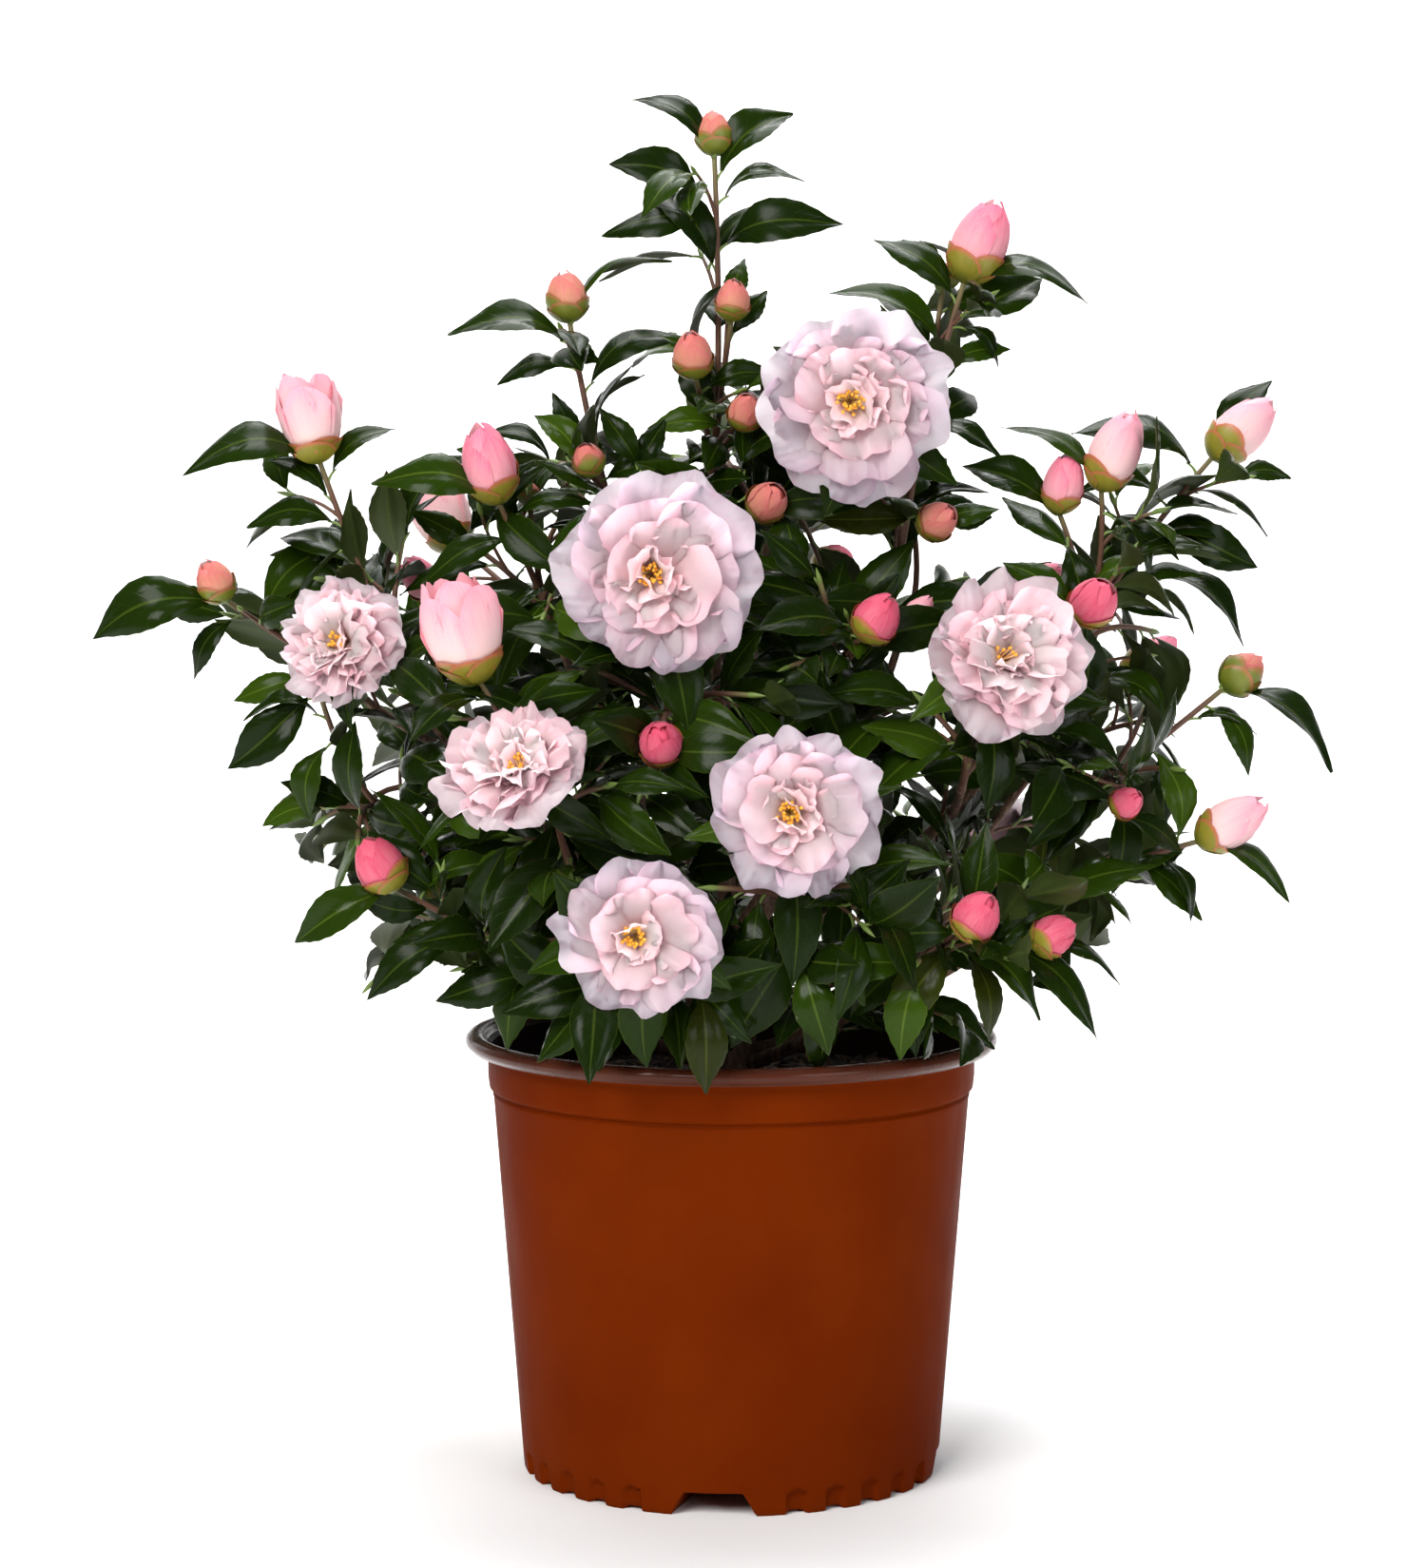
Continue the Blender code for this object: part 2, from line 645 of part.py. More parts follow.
def join(name, bodies, finish, solver):
    """One closed solid from bodies that run into one another."""
    made = solid(name, bodies[0], finish)
    parts = bpy.data.collections.new(name + "_parts")
    bpy.context.scene.collection.children.link(parts)
    for body in bodies[1:]:
        part = solid(name + "_part", body, finish)
        bpy.context.scene.collection.objects.unlink(part)
        parts.objects.link(part)
    union = made.modifiers.new("join", "BOOLEAN")
    union.operation = "UNION"
    union.operand_type = "COLLECTION"
    union.collection = parts
    union.solver = solver
    apply_modifiers(made)
    for part in list(parts.objects):
        bpy.data.objects.remove(part)
    bpy.data.collections.remove(parts)
    keep_outer_shell(made)
    return made


def join_closed(name, bodies, finish):
    """The bodies joined by the exact solver, or by the other where that leaves a hole."""
    made = join(name, bodies, finish, "EXACT")
    if is_closed(made):
        return made
    bpy.data.objects.remove(made)
    return join(name, bodies, finish, "MANIFOLD")


def is_closed(made):
    uses = {}
    for face in made.data.polygons:
        for edge in face.edge_keys:
            uses[edge] = uses.get(edge, 0) + 1
    return all(count == 2 for count in uses.values())


def cut(made, body):
    """Take a body out of an object."""
    cutter = solid(made.name + "_cutter", body, made.data.materials[0])
    taken = made.modifiers.new("cut", "BOOLEAN")
    taken.operation = "DIFFERENCE"
    taken.object = cutter
    taken.solver = "EXACT"
    apply_modifiers(made)
    bpy.data.objects.remove(cutter)
    keep_outer_shell(made)


# The pot and its mix


def wall_radius(height):
    """The outer radius of the pot's wall, which tapers from the rim to the foot."""
    share = min(1, height / POT_BAND_FOOT)
    return POT_FOOT_RADIUS + (POT_BAND_RADIUS - 2.0 * MM - POT_FOOT_RADIUS) * share


def upright(profile):
    """A body turned about Z from rows of (height, radius)."""
    x, y, z = Vector((1, 0, 0)), Vector((0, 1, 0)), Vector((0, 0, 1))
    return turned(profile, Vector(), z, x, y, POT_SIDES)


def make_pot(finish):
    """The pot: a shell with a rolled lip, a step under it, and notches in its foot."""
    top = POT_HEIGHT
    band = POT_BAND_FOOT
    inside = POT_BAND_RADIUS - POT_WALL
    profile = [
        (0, 0), (0, POT_FOOT_RADIUS - 1.5 * MM), (1.5 * MM, POT_FOOT_RADIUS),
        (band - 1 * MM, wall_radius(band)), (band, POT_BAND_RADIUS),
        (top - LIP_DEPTH - 2 * MM, POT_BAND_RADIUS + 1 * MM),
        (top - LIP_DEPTH, LIP_RADIUS - 1.5 * MM), (top - 4 * MM, LIP_RADIUS),
        (top - 1 * MM, LIP_RADIUS - 3 * MM), (top, LIP_RADIUS - 6 * MM),
        (top - 1 * MM, LIP_RADIUS - 9.5 * MM), (top - 5 * MM, inside + 0.6 * MM), (band, inside),
        (band - 2 * MM, wall_radius(band) - POT_WALL),
        (POT_FLOOR, wall_radius(POT_FLOOR) - POT_WALL), (POT_FLOOR, 0),
    ]
    pot = solid("pot", upright(profile), finish)
    for index in range(NOTCHES):
        cut(pot, wedge(NOTCH_TURN + index * 2 * math.pi / NOTCHES))
    return pot


def wedge(turn):
    """A block of trapezoid face, narrower at its top, that cuts in under the pot's edge."""
    low, high = -5 * MM, NOTCH_HEIGHT
    slope = (NOTCH_FOOT - NOTCH_TOP) / 2 / NOTCH_HEIGHT
    out, across = Vector((math.cos(turn), math.sin(turn), 0)), Vector((-math.sin(turn), math.cos(turn), 0))
    near, far = POT_FOOT_RADIUS - NOTCH_REACH, POT_FOOT_RADIUS + 10 * MM
    points = []
    for reach in (near, far):
        for height in (low, high):
            half = NOTCH_TOP / 2 + (NOTCH_HEIGHT - height) * slope
            for way in (-1, 1):
                points.append(out * reach + across * half * way + Vector((0, 0, height)))
    faces = [(0, 2, 3, 1), (4, 5, 7, 6), (0, 1, 5, 4), (2, 6, 7, 3), (0, 4, 6, 2), (1, 3, 7, 5)]
    return points, faces


def make_soil(finish):
    """The mix that fills the pot, a little domed, with its foot inside the notches."""
    foot = POT_FLOOR + CLEAR
    shelf = NOTCH_HEIGHT + 1 * MM
    brim = POT_BAND_FOOT - 3 * MM
    edge = wall_radius(brim) - POT_WALL - CLEAR
    profile = [
        (foot, 0), (foot, POT_FOOT_RADIUS - NOTCH_REACH - 1 * MM),
        (shelf, POT_FOOT_RADIUS - NOTCH_REACH - 1 * MM),
        (shelf, wall_radius(shelf) - POT_WALL - CLEAR), (brim, edge),
        (SOIL_LEVEL + SOIL_CROWN, edge * 0.5), (SOIL_LEVEL + SOIL_CROWN, 0),
    ]
    return solid("soil", upright(profile), finish)


# The plant


def side_twigs(rng, room, owner, twig):
    """Short twigs off a long shoot, by turns round it, each kept to its mass's room."""
    path = twig[0]
    reach = length_of(path)
    grown = []
    for index in range(int(reach / SIDE_TWIG_GAP)):
        foot, along = point_below(path, (index + 0.6) * SIDE_TWIG_GAP)
        turn = rng.uniform(0, 2 * math.pi)
        for attempt in range(6):
            side = along.orthogonal().normalized()
            side = Matrix.Rotation(turn + attempt * math.pi / 3, 3, along) @ side
            way = (side + along * 0.7 + Vector((0, 0, 0.3))).normalized()
            end = foot + way * rng.uniform(*SIDE_TWIG)
            tip = [foot.lerp(end, 0.5), end, end + way * 16 * MM]
            if room.holds(owner, tip):
                grown.append(([foot, end], [TWIG_TIP, TWIG_TIP * 0.8], None, ""))
                break
    return grown


def plan_crown(limbs):
    """Each mass's twigs, by name, and the room that each has."""
    crown = {}
    room = Room()
    for name, (points, radii) in limbs.items():
        room.add(LIMB, points, radii)
    for index, (name, _, _, tip, shoots) in enumerate(CROWN):
        rng = random.Random(SEED + index)
        if isinstance(shoots[0], str):
            shoots = fan(rng, name, Vector(tip) * MM, shoots)
        twigs = plan_twigs(rng, limbs[name], shoots)
        crown[name] = twigs
        for path, radii, bears, _ in twigs:
            room.add(index, path, radii)
            if bears and bears[0] == "bloom":
                for start, end in bloom_spokes(path[-1], Vector(bears[2]), bears[1] * MM):
                    room.add(index, [start, end], [0.06 * bears[1] * MM])
    room.freeze()
    return crown, room


def bloom_heart(tip, facing, width):
    """The middle of a bloom's rim: in front of the shoot's tip, which is at its calyx."""
    return tip + facing.normalized() * BLOOM_DEPTH * width


def bloom_spokes(tip, facing, width):
    """Lines from the middle of a bloom to its rim, that hold its room."""
    heart = bloom_heart(tip, facing, width)
    along, side, rise = frames([heart, heart + facing])[0]
    spokes = [(tip, heart)]
    for step in range(8):
        turn = math.pi * step / 4
        reach = side * math.cos(turn) + rise * math.sin(turn)
        spokes.append((heart, heart + reach * 0.46 * width))
    return spokes


def borne_body(rng, tip, along, bears):
    """The bud or bloom at a shoot's tip."""
    kind, width, facing = bears
    width *= MM
    if kind == "bloom":
        facing = Vector(facing).normalized()
        return bloom_body(rng, bloom_heart(tip, facing, width), facing, width)
    return bud_body(tip, along, width, kind)


def mass_bodies(rng, room, owner, twigs):
    """The bodies of one mass: its twigs, and the buds, blooms and leaves on them."""
    shoots = twigs[1:]
    twig_bodies = [tube(path, radii, 3) for path, radii, _, _ in twigs]
    side_shoots = []
    for shoot in shoots:
        side_shoots += side_twigs(rng, room, owner, shoot)
    side_bodies = [tube(path, radii, 3) for path, radii, _, _ in side_shoots]
    flowers = []
    for path, _, bears, _ in shoots:
        if bears[1] >= SMALLEST_BUD:
            along = (path[-1] - path[-2]).normalized()
            flowers.append(borne_body(rng, path[-1], along, bears))
    leaves = []
    for shoot in shoots:
        leaves += stated_leaves(rng, room, owner, shoot, [])
    grown = [BVHTree.FromPolygons(*body) for body in flowers + side_bodies + leaves]
    for shoot in shoots + side_shoots:
        leaves += rule_leaves(rng, room, owner, shoot, grown)
    return twig_bodies + side_bodies + leaves + flowers


def make_limb(name, limbs, finish):
    """A bough, with its foot cut to seat on its parent."""
    points, radii = limbs[name]
    bough = solid("bough_" + name, tube(points, radii, BOUGH_SIDES), finish)
    parent = next(row[1] for row in CROWN if row[0] == name)
    points, radii = limbs[parent]
    sides = TRUNK_SIDES if parent == "trunk" else BOUGH_SIDES
    cut(bough, tube(points, radii, sides, CLEAR))
    return bough


def main():
    for old in list(bpy.data.objects):
        bpy.data.objects.remove(old)
    bark = material("bark", BARK_BROWN, 0.8)
    green = material("foliage", LEAF_GREEN, 0.4)
    make_pot(material("pot_plastic", POT_BROWN, 0.45))
    make_soil(material("potting_mix", SOIL_BROWN, 0.95))
    limbs = plan_limbs()
    trunk = solid("trunk", tube(*limbs["trunk"], TRUNK_SIDES), bark)
    crown, room = plan_crown(limbs)
    rounds = [trunk]
    for index, (name, *_) in enumerate(CROWN):
        rounds.append(make_limb(name, limbs, bark))
        rng = random.Random(SEED * 2 + index)
        join_closed("foliage_" + name, mass_bodies(rng, room, index, crown[name]), green)
    for made in rounds:
        made.data.shade_smooth()
        made.data.set_sharp_from_angle(angle=math.radians(50))


main()
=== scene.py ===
"""The looks of a camellia shrub in bloom, in its round plastic nursery pot.

The plan of the shrub is the solids' own: limbs, stems and shoots run where they run
there, but for the middle shoots of three masses at the back. Here they get bark, finer
twigs, whole leaves, ruffled petals and scaly buds.
"""

import math
import random

import bpy
import numpy as np
from mathutils import Matrix, Vector, noise
from mathutils.bvhtree import BVHTree


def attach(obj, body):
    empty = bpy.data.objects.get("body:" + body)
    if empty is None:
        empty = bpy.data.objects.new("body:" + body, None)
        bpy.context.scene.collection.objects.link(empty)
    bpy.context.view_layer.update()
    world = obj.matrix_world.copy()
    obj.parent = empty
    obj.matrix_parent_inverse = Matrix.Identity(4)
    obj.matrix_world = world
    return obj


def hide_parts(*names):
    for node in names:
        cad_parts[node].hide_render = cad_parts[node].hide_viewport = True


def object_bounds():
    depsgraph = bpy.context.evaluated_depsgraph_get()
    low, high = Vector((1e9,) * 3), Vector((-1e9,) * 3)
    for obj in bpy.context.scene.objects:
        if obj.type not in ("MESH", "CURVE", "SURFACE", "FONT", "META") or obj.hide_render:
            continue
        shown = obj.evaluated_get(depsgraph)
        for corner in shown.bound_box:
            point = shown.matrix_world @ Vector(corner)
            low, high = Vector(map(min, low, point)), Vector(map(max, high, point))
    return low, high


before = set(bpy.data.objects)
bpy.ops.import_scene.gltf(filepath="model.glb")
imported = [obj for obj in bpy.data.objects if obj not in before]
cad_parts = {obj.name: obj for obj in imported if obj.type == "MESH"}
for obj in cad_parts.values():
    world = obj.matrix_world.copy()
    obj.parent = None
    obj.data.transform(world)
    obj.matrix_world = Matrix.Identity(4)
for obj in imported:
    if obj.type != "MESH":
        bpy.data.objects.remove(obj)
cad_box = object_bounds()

MM = 0.001
SEED = 4127
SHARP = math.radians(75)  # folds sharper than this are creases
POT_SHARP = math.radians(42)

# The pot. Its wall is 1.1 to 1.4 mm further out than the solid's, its notches are turned 3
# degrees from the solid's and reach further in under it, and its floor is higher. The
# flutes, and the groove under the band, are only here.
POT_HEIGHT = 0.232
POT_FOOT_RADIUS = 0.1098
POT_BAND_RADIUS = 0.1276
POT_BAND_FOOT = 0.203
POT_WALL = 2.0 * MM
LIP_RADIUS = 0.140
LIP_DEPTH = 8.0 * MM
POT_FLOOR = 17.0 * MM  # above the notches and the flutes
POT_SIDES = 480
POT_SKIRT = 17 * MM  # up to here the wall has the flutes and the notches
LIP_HIGH = 4.2 * MM  # the roll of the lip: half its height and half its width
LIP_WIDE = 5.2 * MM
GROOVE = (  # up from the foot of the band, and out from the wall there, in mm
    (-3.6, 0.1), (-2.9, 0.0), (-2.3, -0.5), (-1.7, -1.0), (-1.0, -1.0), (-0.5, -0.2),
    (0.0, 1.2), (0.5, 1.8), (1.4, 2.0),
)
NOTCHES = 4
NOTCH_HEIGHT = 12.0 * MM
NOTCH_TOP = 30.0 * MM
NOTCH_FOOT = 44.0 * MM
NOTCH_REACH = 46.0 * MM
NOTCH_TURN = math.radians(-95)
FLUTES = 32  # small round-topped hollows round the pot's foot
FLUTE_HEIGHT = 13.0 * MM
FLUTE_DEPTH = 2.8 * MM
FLUTE_SHARE = 0.50  # of the way from one to the next that a flute takes
FLUTE_LIFT = 1.6 * MM  # how far its foot is off the ground

SOIL_LEVEL = 0.204
SOIL_CROWN = 3.0 * MM
SOIL_DIP = 3 * MM  # how far the mix is below its level at its edge
MIX_EDGE = POT_BAND_RADIUS - POT_WALL - 2.2 * MM
MIX_RINGS = 46
MIX_SIDES = 150
CHIPS = 620

TRUNK_TOP = Vector((-0.002, 0.006, 0.292))
TRUNK_COLLAR = 8 * MM
TRUNK_RISES = (0.0, 0.35, 0.75, 1.0)
TRUNK_RADII = (17.5 * MM, 14.0 * MM, 12.5 * MM, 11.0 * MM, 9.0 * MM)

BOUGH_SPANS = 14
BOUGH_FOOT = 4.3 * MM
BOUGH_TIP = 2.3 * MM
BOUGH_SEAT = 0.8  # a bough's foot, at most, of its parent's radius there
BOUGH_OUT = 0.62  # how far out, and how far up, a bough has come at its bend
BOUGH_UP = 0.36
STEM_TIP = 2.05 * MM
STEM_SHARE = 0.34  # its length, of the way to the middle of its shoots' ends
STEM_LEAST = 14 * MM
STEM_SPANS = 5
FORK_TOP = 0.94  # how far up the stem its twigs fork, by turns
FORK_STEP = 0.30
TWIG_FOOT = 1.95 * MM
TWIG_TIP = 1.4 * MM
TWIG_SPANS = 9
TWIG_BEND = 0.38  # of its length, in which a twig still runs as its stem does
SHOOT_STEP = 46  # mm along a shoot, and along a bough, from side twig to side twig
BOUGH_STEP = 24
SIDE_SPANS = 5
SIDE_TRIES = 8
BUD_LEAN = 2.4  # sideways, for each metre out

LEAF_LENGTH = (48 * MM, 66 * MM)
LEAF_WIDTH = (0.38, 0.48)  # of its length
LEAF_ROWS = 16
LEAF_THICK = 0.5 * MM
FIRST_LEAF = 4 * MM  # below the shoot's tip
LEAF_GAP = 12 * MM  # along a shoot, from one stated leaf to the next
LEAF_TURN = math.radians(144)  # round a shoot, from one leaf to the next
GOLDEN = 2.39996  # radians, the golden angle
RULE_GAP = 21 * MM  # from leaf to leaf, below the ones whose way is stated
PETIOLE = 7 * MM

BLOOM_DEPTH = 0.24  # from a bloom's foot to the middle of its rim, of its width


def bud(width, tint="warm"):
    return "bud", width, tint


def opening(width):
    return "opening", width, "pale"


def bloom(width, *facing):
    return "bloom", width, facing


TUFT = ("tuft", 5, "green")

# The crown, row by row: a mass's name, its bough's parent, how far up that the bough
# leaves, the bough's tip (mm), and the mass's shoots. A shoot is its end (mm), what it
# bears, and its upper leaves: the hour of the clock that each points to and, after a
# colon, its length (mm). A back mass states only what its middle shoot bears. The rows
# are the solids', but back_high_left, back_right and back_low bear something else here.
CROWN = (
    ("leader", "trunk", 1.00, (-10, 20, 500), (
        (-9, 0, 690, bud(19), "10.2:56 1.6:56 2.5:48 8.9:60 2.6:68 10.7:62"),
        (0, -22, 604, bud(18), "0.4:36 1.2:36 9.5"),
        (-19, -28, 575, bud(21), "8.3 2.5:40 10"),
        (5, -30, 549, bud(18), "2.8:44 9:44 4"),
        (14, -42, 505, bud(21), "3 8.5 11"),
    )),
    ("high_left", "leader", 0.50, (-58, -10, 490), (
        (-84, -12, 604, bud(22), "1.9:64 9.2:66 8.7:44 2.1:66"),
        (-72, -42, 525, bud(16, "green"), "10.5:44 2.6:44 8"),
        (-46, -40, 525, TUFT, "11:40 1:40 4"),
        (-92, 25, 530, TUFT, "9.6:46 11.5:40 8"),
    )),
    ("high_right", "trunk", 0.80, (84, -14, 470), (
        (121, -8, 626, bud(31, "pink"), "3.3:66 10.3:56 4.3:32 9.9:68 2.4:40"),
        (110, 2, 621, bud(12, "green"), "10.8:36"),
        (63, -52, 560, bloom(98, 0, -1, -0.02), "2.0:46 10 3.5"),
        (99, -42, 496, bud(20), "2.6:40 9.5 4.4"),
        (96, 30, 550, TUFT, "3.6:50 1:44 9"),
    )),
    ("right_high", "trunk", 0.62, (172, 0, 420), (
        (255, 18, 535, bud(28, "pale"), "1.3:54 9.6:70 3.9:52 9.3:50 3.7:60 2.9:50"),
        (191, -18, 519, bud(28, "pale"), "10.1:62 5:46 3.6:42"),
        (169, -14, 506, bud(22, "pink"), "9.9:58 5.6:50"),
        (178, -58, 452, bud(25, "hot"), "10.1:50 4 8.5"),
        (222, 30, 472, TUFT, "4.2:64 5.2 2.6:50 3.1"),
        (226, 55, 440, TUFT, "4.3 5 2.2"),
    )),
    ("right_mid", "right_high", 0.62, (118, -52, 366), (
        (132, -96, 428, bloom(88, 0.28, -0.9, 0.3), "8.6 3.5 6"),
        (98, -78, 408, TUFT, "9.3 11 8"),
        (158, -50, 395, TUFT, "3.2 4.8 2.2"),
    )),
    ("right_far", "trunk", 0.44, (182, 0, 350), (
        (259, 0, 413, bud(22, "green"), "4.2:72 4.9:44 3.4:40 10.2:50 5.6:44"),
        (195, -74, 355, bud(16, "hot"), "3 9.5 5"),
        (222, 52, 398, TUFT, "1.8 4.4 3.2"),
        (228, -30, 372, TUFT, "5 4 2.4"),
    )),
    ("right_low", "trunk", 0.26, (160, -22, 300), (
        (243, -38, 336, bud(26, "pale"), "4.1:58 11.7:50 5.0:40 4.3:48 1.6"),
        (205, -52, 318, TUFT, "4.6 5 2.8"),
        (190, 28, 318, TUFT, "4.0 3.0 5.3"),
    )),
    ("front_right_low", "trunk", 0.12, (86, -80, 274), (
        (114, -138, 300, bud(24, "hot"), "8.9:52 7.1:58 4.3:60"),
        (150, -118, 291, bud(21, "hot"), "3.8:52 4.5:66 2.2:48 5.4:50"),
        (90, -142, 285, TUFT, "9:50 6.4:52 7.6 4.8"),
    )),
    ("centre_right", "high_right", 0.50, (52, -46, 410), (
        (67, -84, 443, bud(24, "hot"), "9 3 6.5"),
        (88, -64, 448, bud(13, "pale"), "2.5 4.2"),
        (44, -84, 470, TUFT, "11 9.6 1.5 3"),
        (28, -96, 428, TUFT, "8.4 10 3.4"),
    )),
    ("front_high", "trunk", 0.60, (-30, -62, 385), (
        (-36, -104, 474, bloom(99, 0, -1, 0.04), "9.5 2.5 5.5"),
        (-35, -128, 388, bud(22, "hot"), "3 9 5"),
        (-72, -92, 428, TUFT, "8 9.6 6.8"),
        (8, -110, 415, TUFT, "3.2 4.6 2"),
    )),
    ("front_right", "trunk", 0.36, (24, -98, 300), (
        (30, -156, 361, bloom(84, 0.02, -1, 0.05), "3 9 6"),
        (34, -146, 290, TUFT, "5.5:54 4.6:50 7.4:46 6.5:40"),
        (62, -148, 325, TUFT, "4.6 3.2 5.6"),
        (-8, -140, 322, TUFT, "8.6 7.3 6.5"),
    )),
    ("front_left", "trunk", 0.13, (-34, -92, 268), (
        (-44, -172, 303, bloom(80, -0.02, -1, 0.03), "4:50 8.5 6"),
        (-16, -146, 274, TUFT, "5.8:54 4.4:48 6.8:40 3.4"),
        (-66, -138, 270, TUFT, "7.4 8.5 5.6"),
    )),
    ("left_mid", "trunk", 0.48, (-80, -82, 340), (
        (-103, -150, 372, bloom(78, -0.22, -0.68, 0.7), "8 4 10"),
        (-127, -120, 426, opening(40), "10.4 8.2 2.4"),
        (-62, -138, 372, TUFT, "2.2 4.2 10.8"),
        (-80, -140, 330, TUFT, "5.5 7.2 3.6"),
    )),
    ("left_high", "leader", 0.10, (-88, -20, 434), (
        (-120, -48, 512, bud(29, "pink"), "9.3:66 2.6:46 8.2 3.6"),
        (-104, -22, 508, bud(11, "green"), "1.6:40 3.2"),
        (-140, 4, 490, TUFT, "1.3:56 10:46 8.8 2"),
        (-74, -66, 470, TUFT, "1.5 10 3.4"),
    )),
    ("left_upper", "trunk", 0.68, (-160, -34, 405), (
        (-212, -40, 534, opening(34), "8.8:70 1.7:46 10.1:44 9.0:50 7.4"),
        (-190, -68, 436, bloom(70, -0.42, -0.86, 0.28), "8 2 10"),
        (-170, -20, 490, TUFT, "1.2:60 0.6 2.4 9"),
        (-186, 20, 470, TUFT, "11.4 9 1"),
    )),
    ("left_far", "left_upper", 0.86, (-205, -4, 420), (
        (-262, -28, 460, bud(20), "8.5:74 7.3:44 1.5:60 1.1:72"),
        (-236, 30, 448, TUFT, "9.4:54 8 10.6"),
        (-226, -30, 404, TUFT, "8.2 7.4 9.2"),
    )),
    ("left_low_far", "trunk", 0.30, (-170, -14, 338), (
        (-212, -36, 412, TUFT, "7.8:62 9.0:44 6.6:44"),
        (-208, -22, 352, bud(7, "green"), "8.5:42 9.6:44 7.0 10.4"),
        (-200, 34, 360, TUFT, "9 7.8 10.4"),
        (-190, -66, 338, TUFT, "8 9.4 10.6"),
    )),
    ("left_low", "trunk", 0.10, (-112, -66, 282), (
        (-170, -96, 318, bud(26, "hot"), "8.1:60 2.2:46 9.4:44"),
        (-132, -112, 296, TUFT, "7.9:60 5.0:52 8.8:44"),
        (-176, -50, 300, TUFT, "8.2 7.6 9.2"),
        (-96, -116, 280, TUFT, "8.3:52 6.2:48 4.4"),
    )),
    ("back_high", "leader", 0.64, (20, 76, 490), opening(34)),
    ("back_high_left", "trunk", 0.76, (-92, 92, 426), opening(34)),
    ("back_high_right", "trunk", 0.72, (94, 96, 436), bud(26, "pink")),
    ("back_mid", "trunk", 0.56, (0, 148, 372), bloom(92, 0.1, 1, 0.2)),
    ("back_left", "trunk", 0.46, (-156, 104, 334), bloom(78, -0.9, 0.7, 0.2)),
    ("back_right", "trunk", 0.36, (158, 106, 348), bud(27, "pink")),
    ("back_low", "trunk", 0.24, (-4, 156, 280), bloom(84, -0.1, 1, 0.1)),
    ("back_low_left", "trunk", 0.16, (-112, 118, 276), bud(22, "hot")),
    ("back_low_right", "trunk", 0.08, (110, 120, 276), bloom(76, 0.5, 1, 0.0)),
)
FAN_BEARS = (bud(20, "pink"), TUFT, TUFT, bud(23, "hot"), TUFT, bud(18), TUFT)
FAN_SHOOTS = 4
FAN_REACH = (76 * MM, 100 * MM)
FAN_SPREAD = math.radians(54)

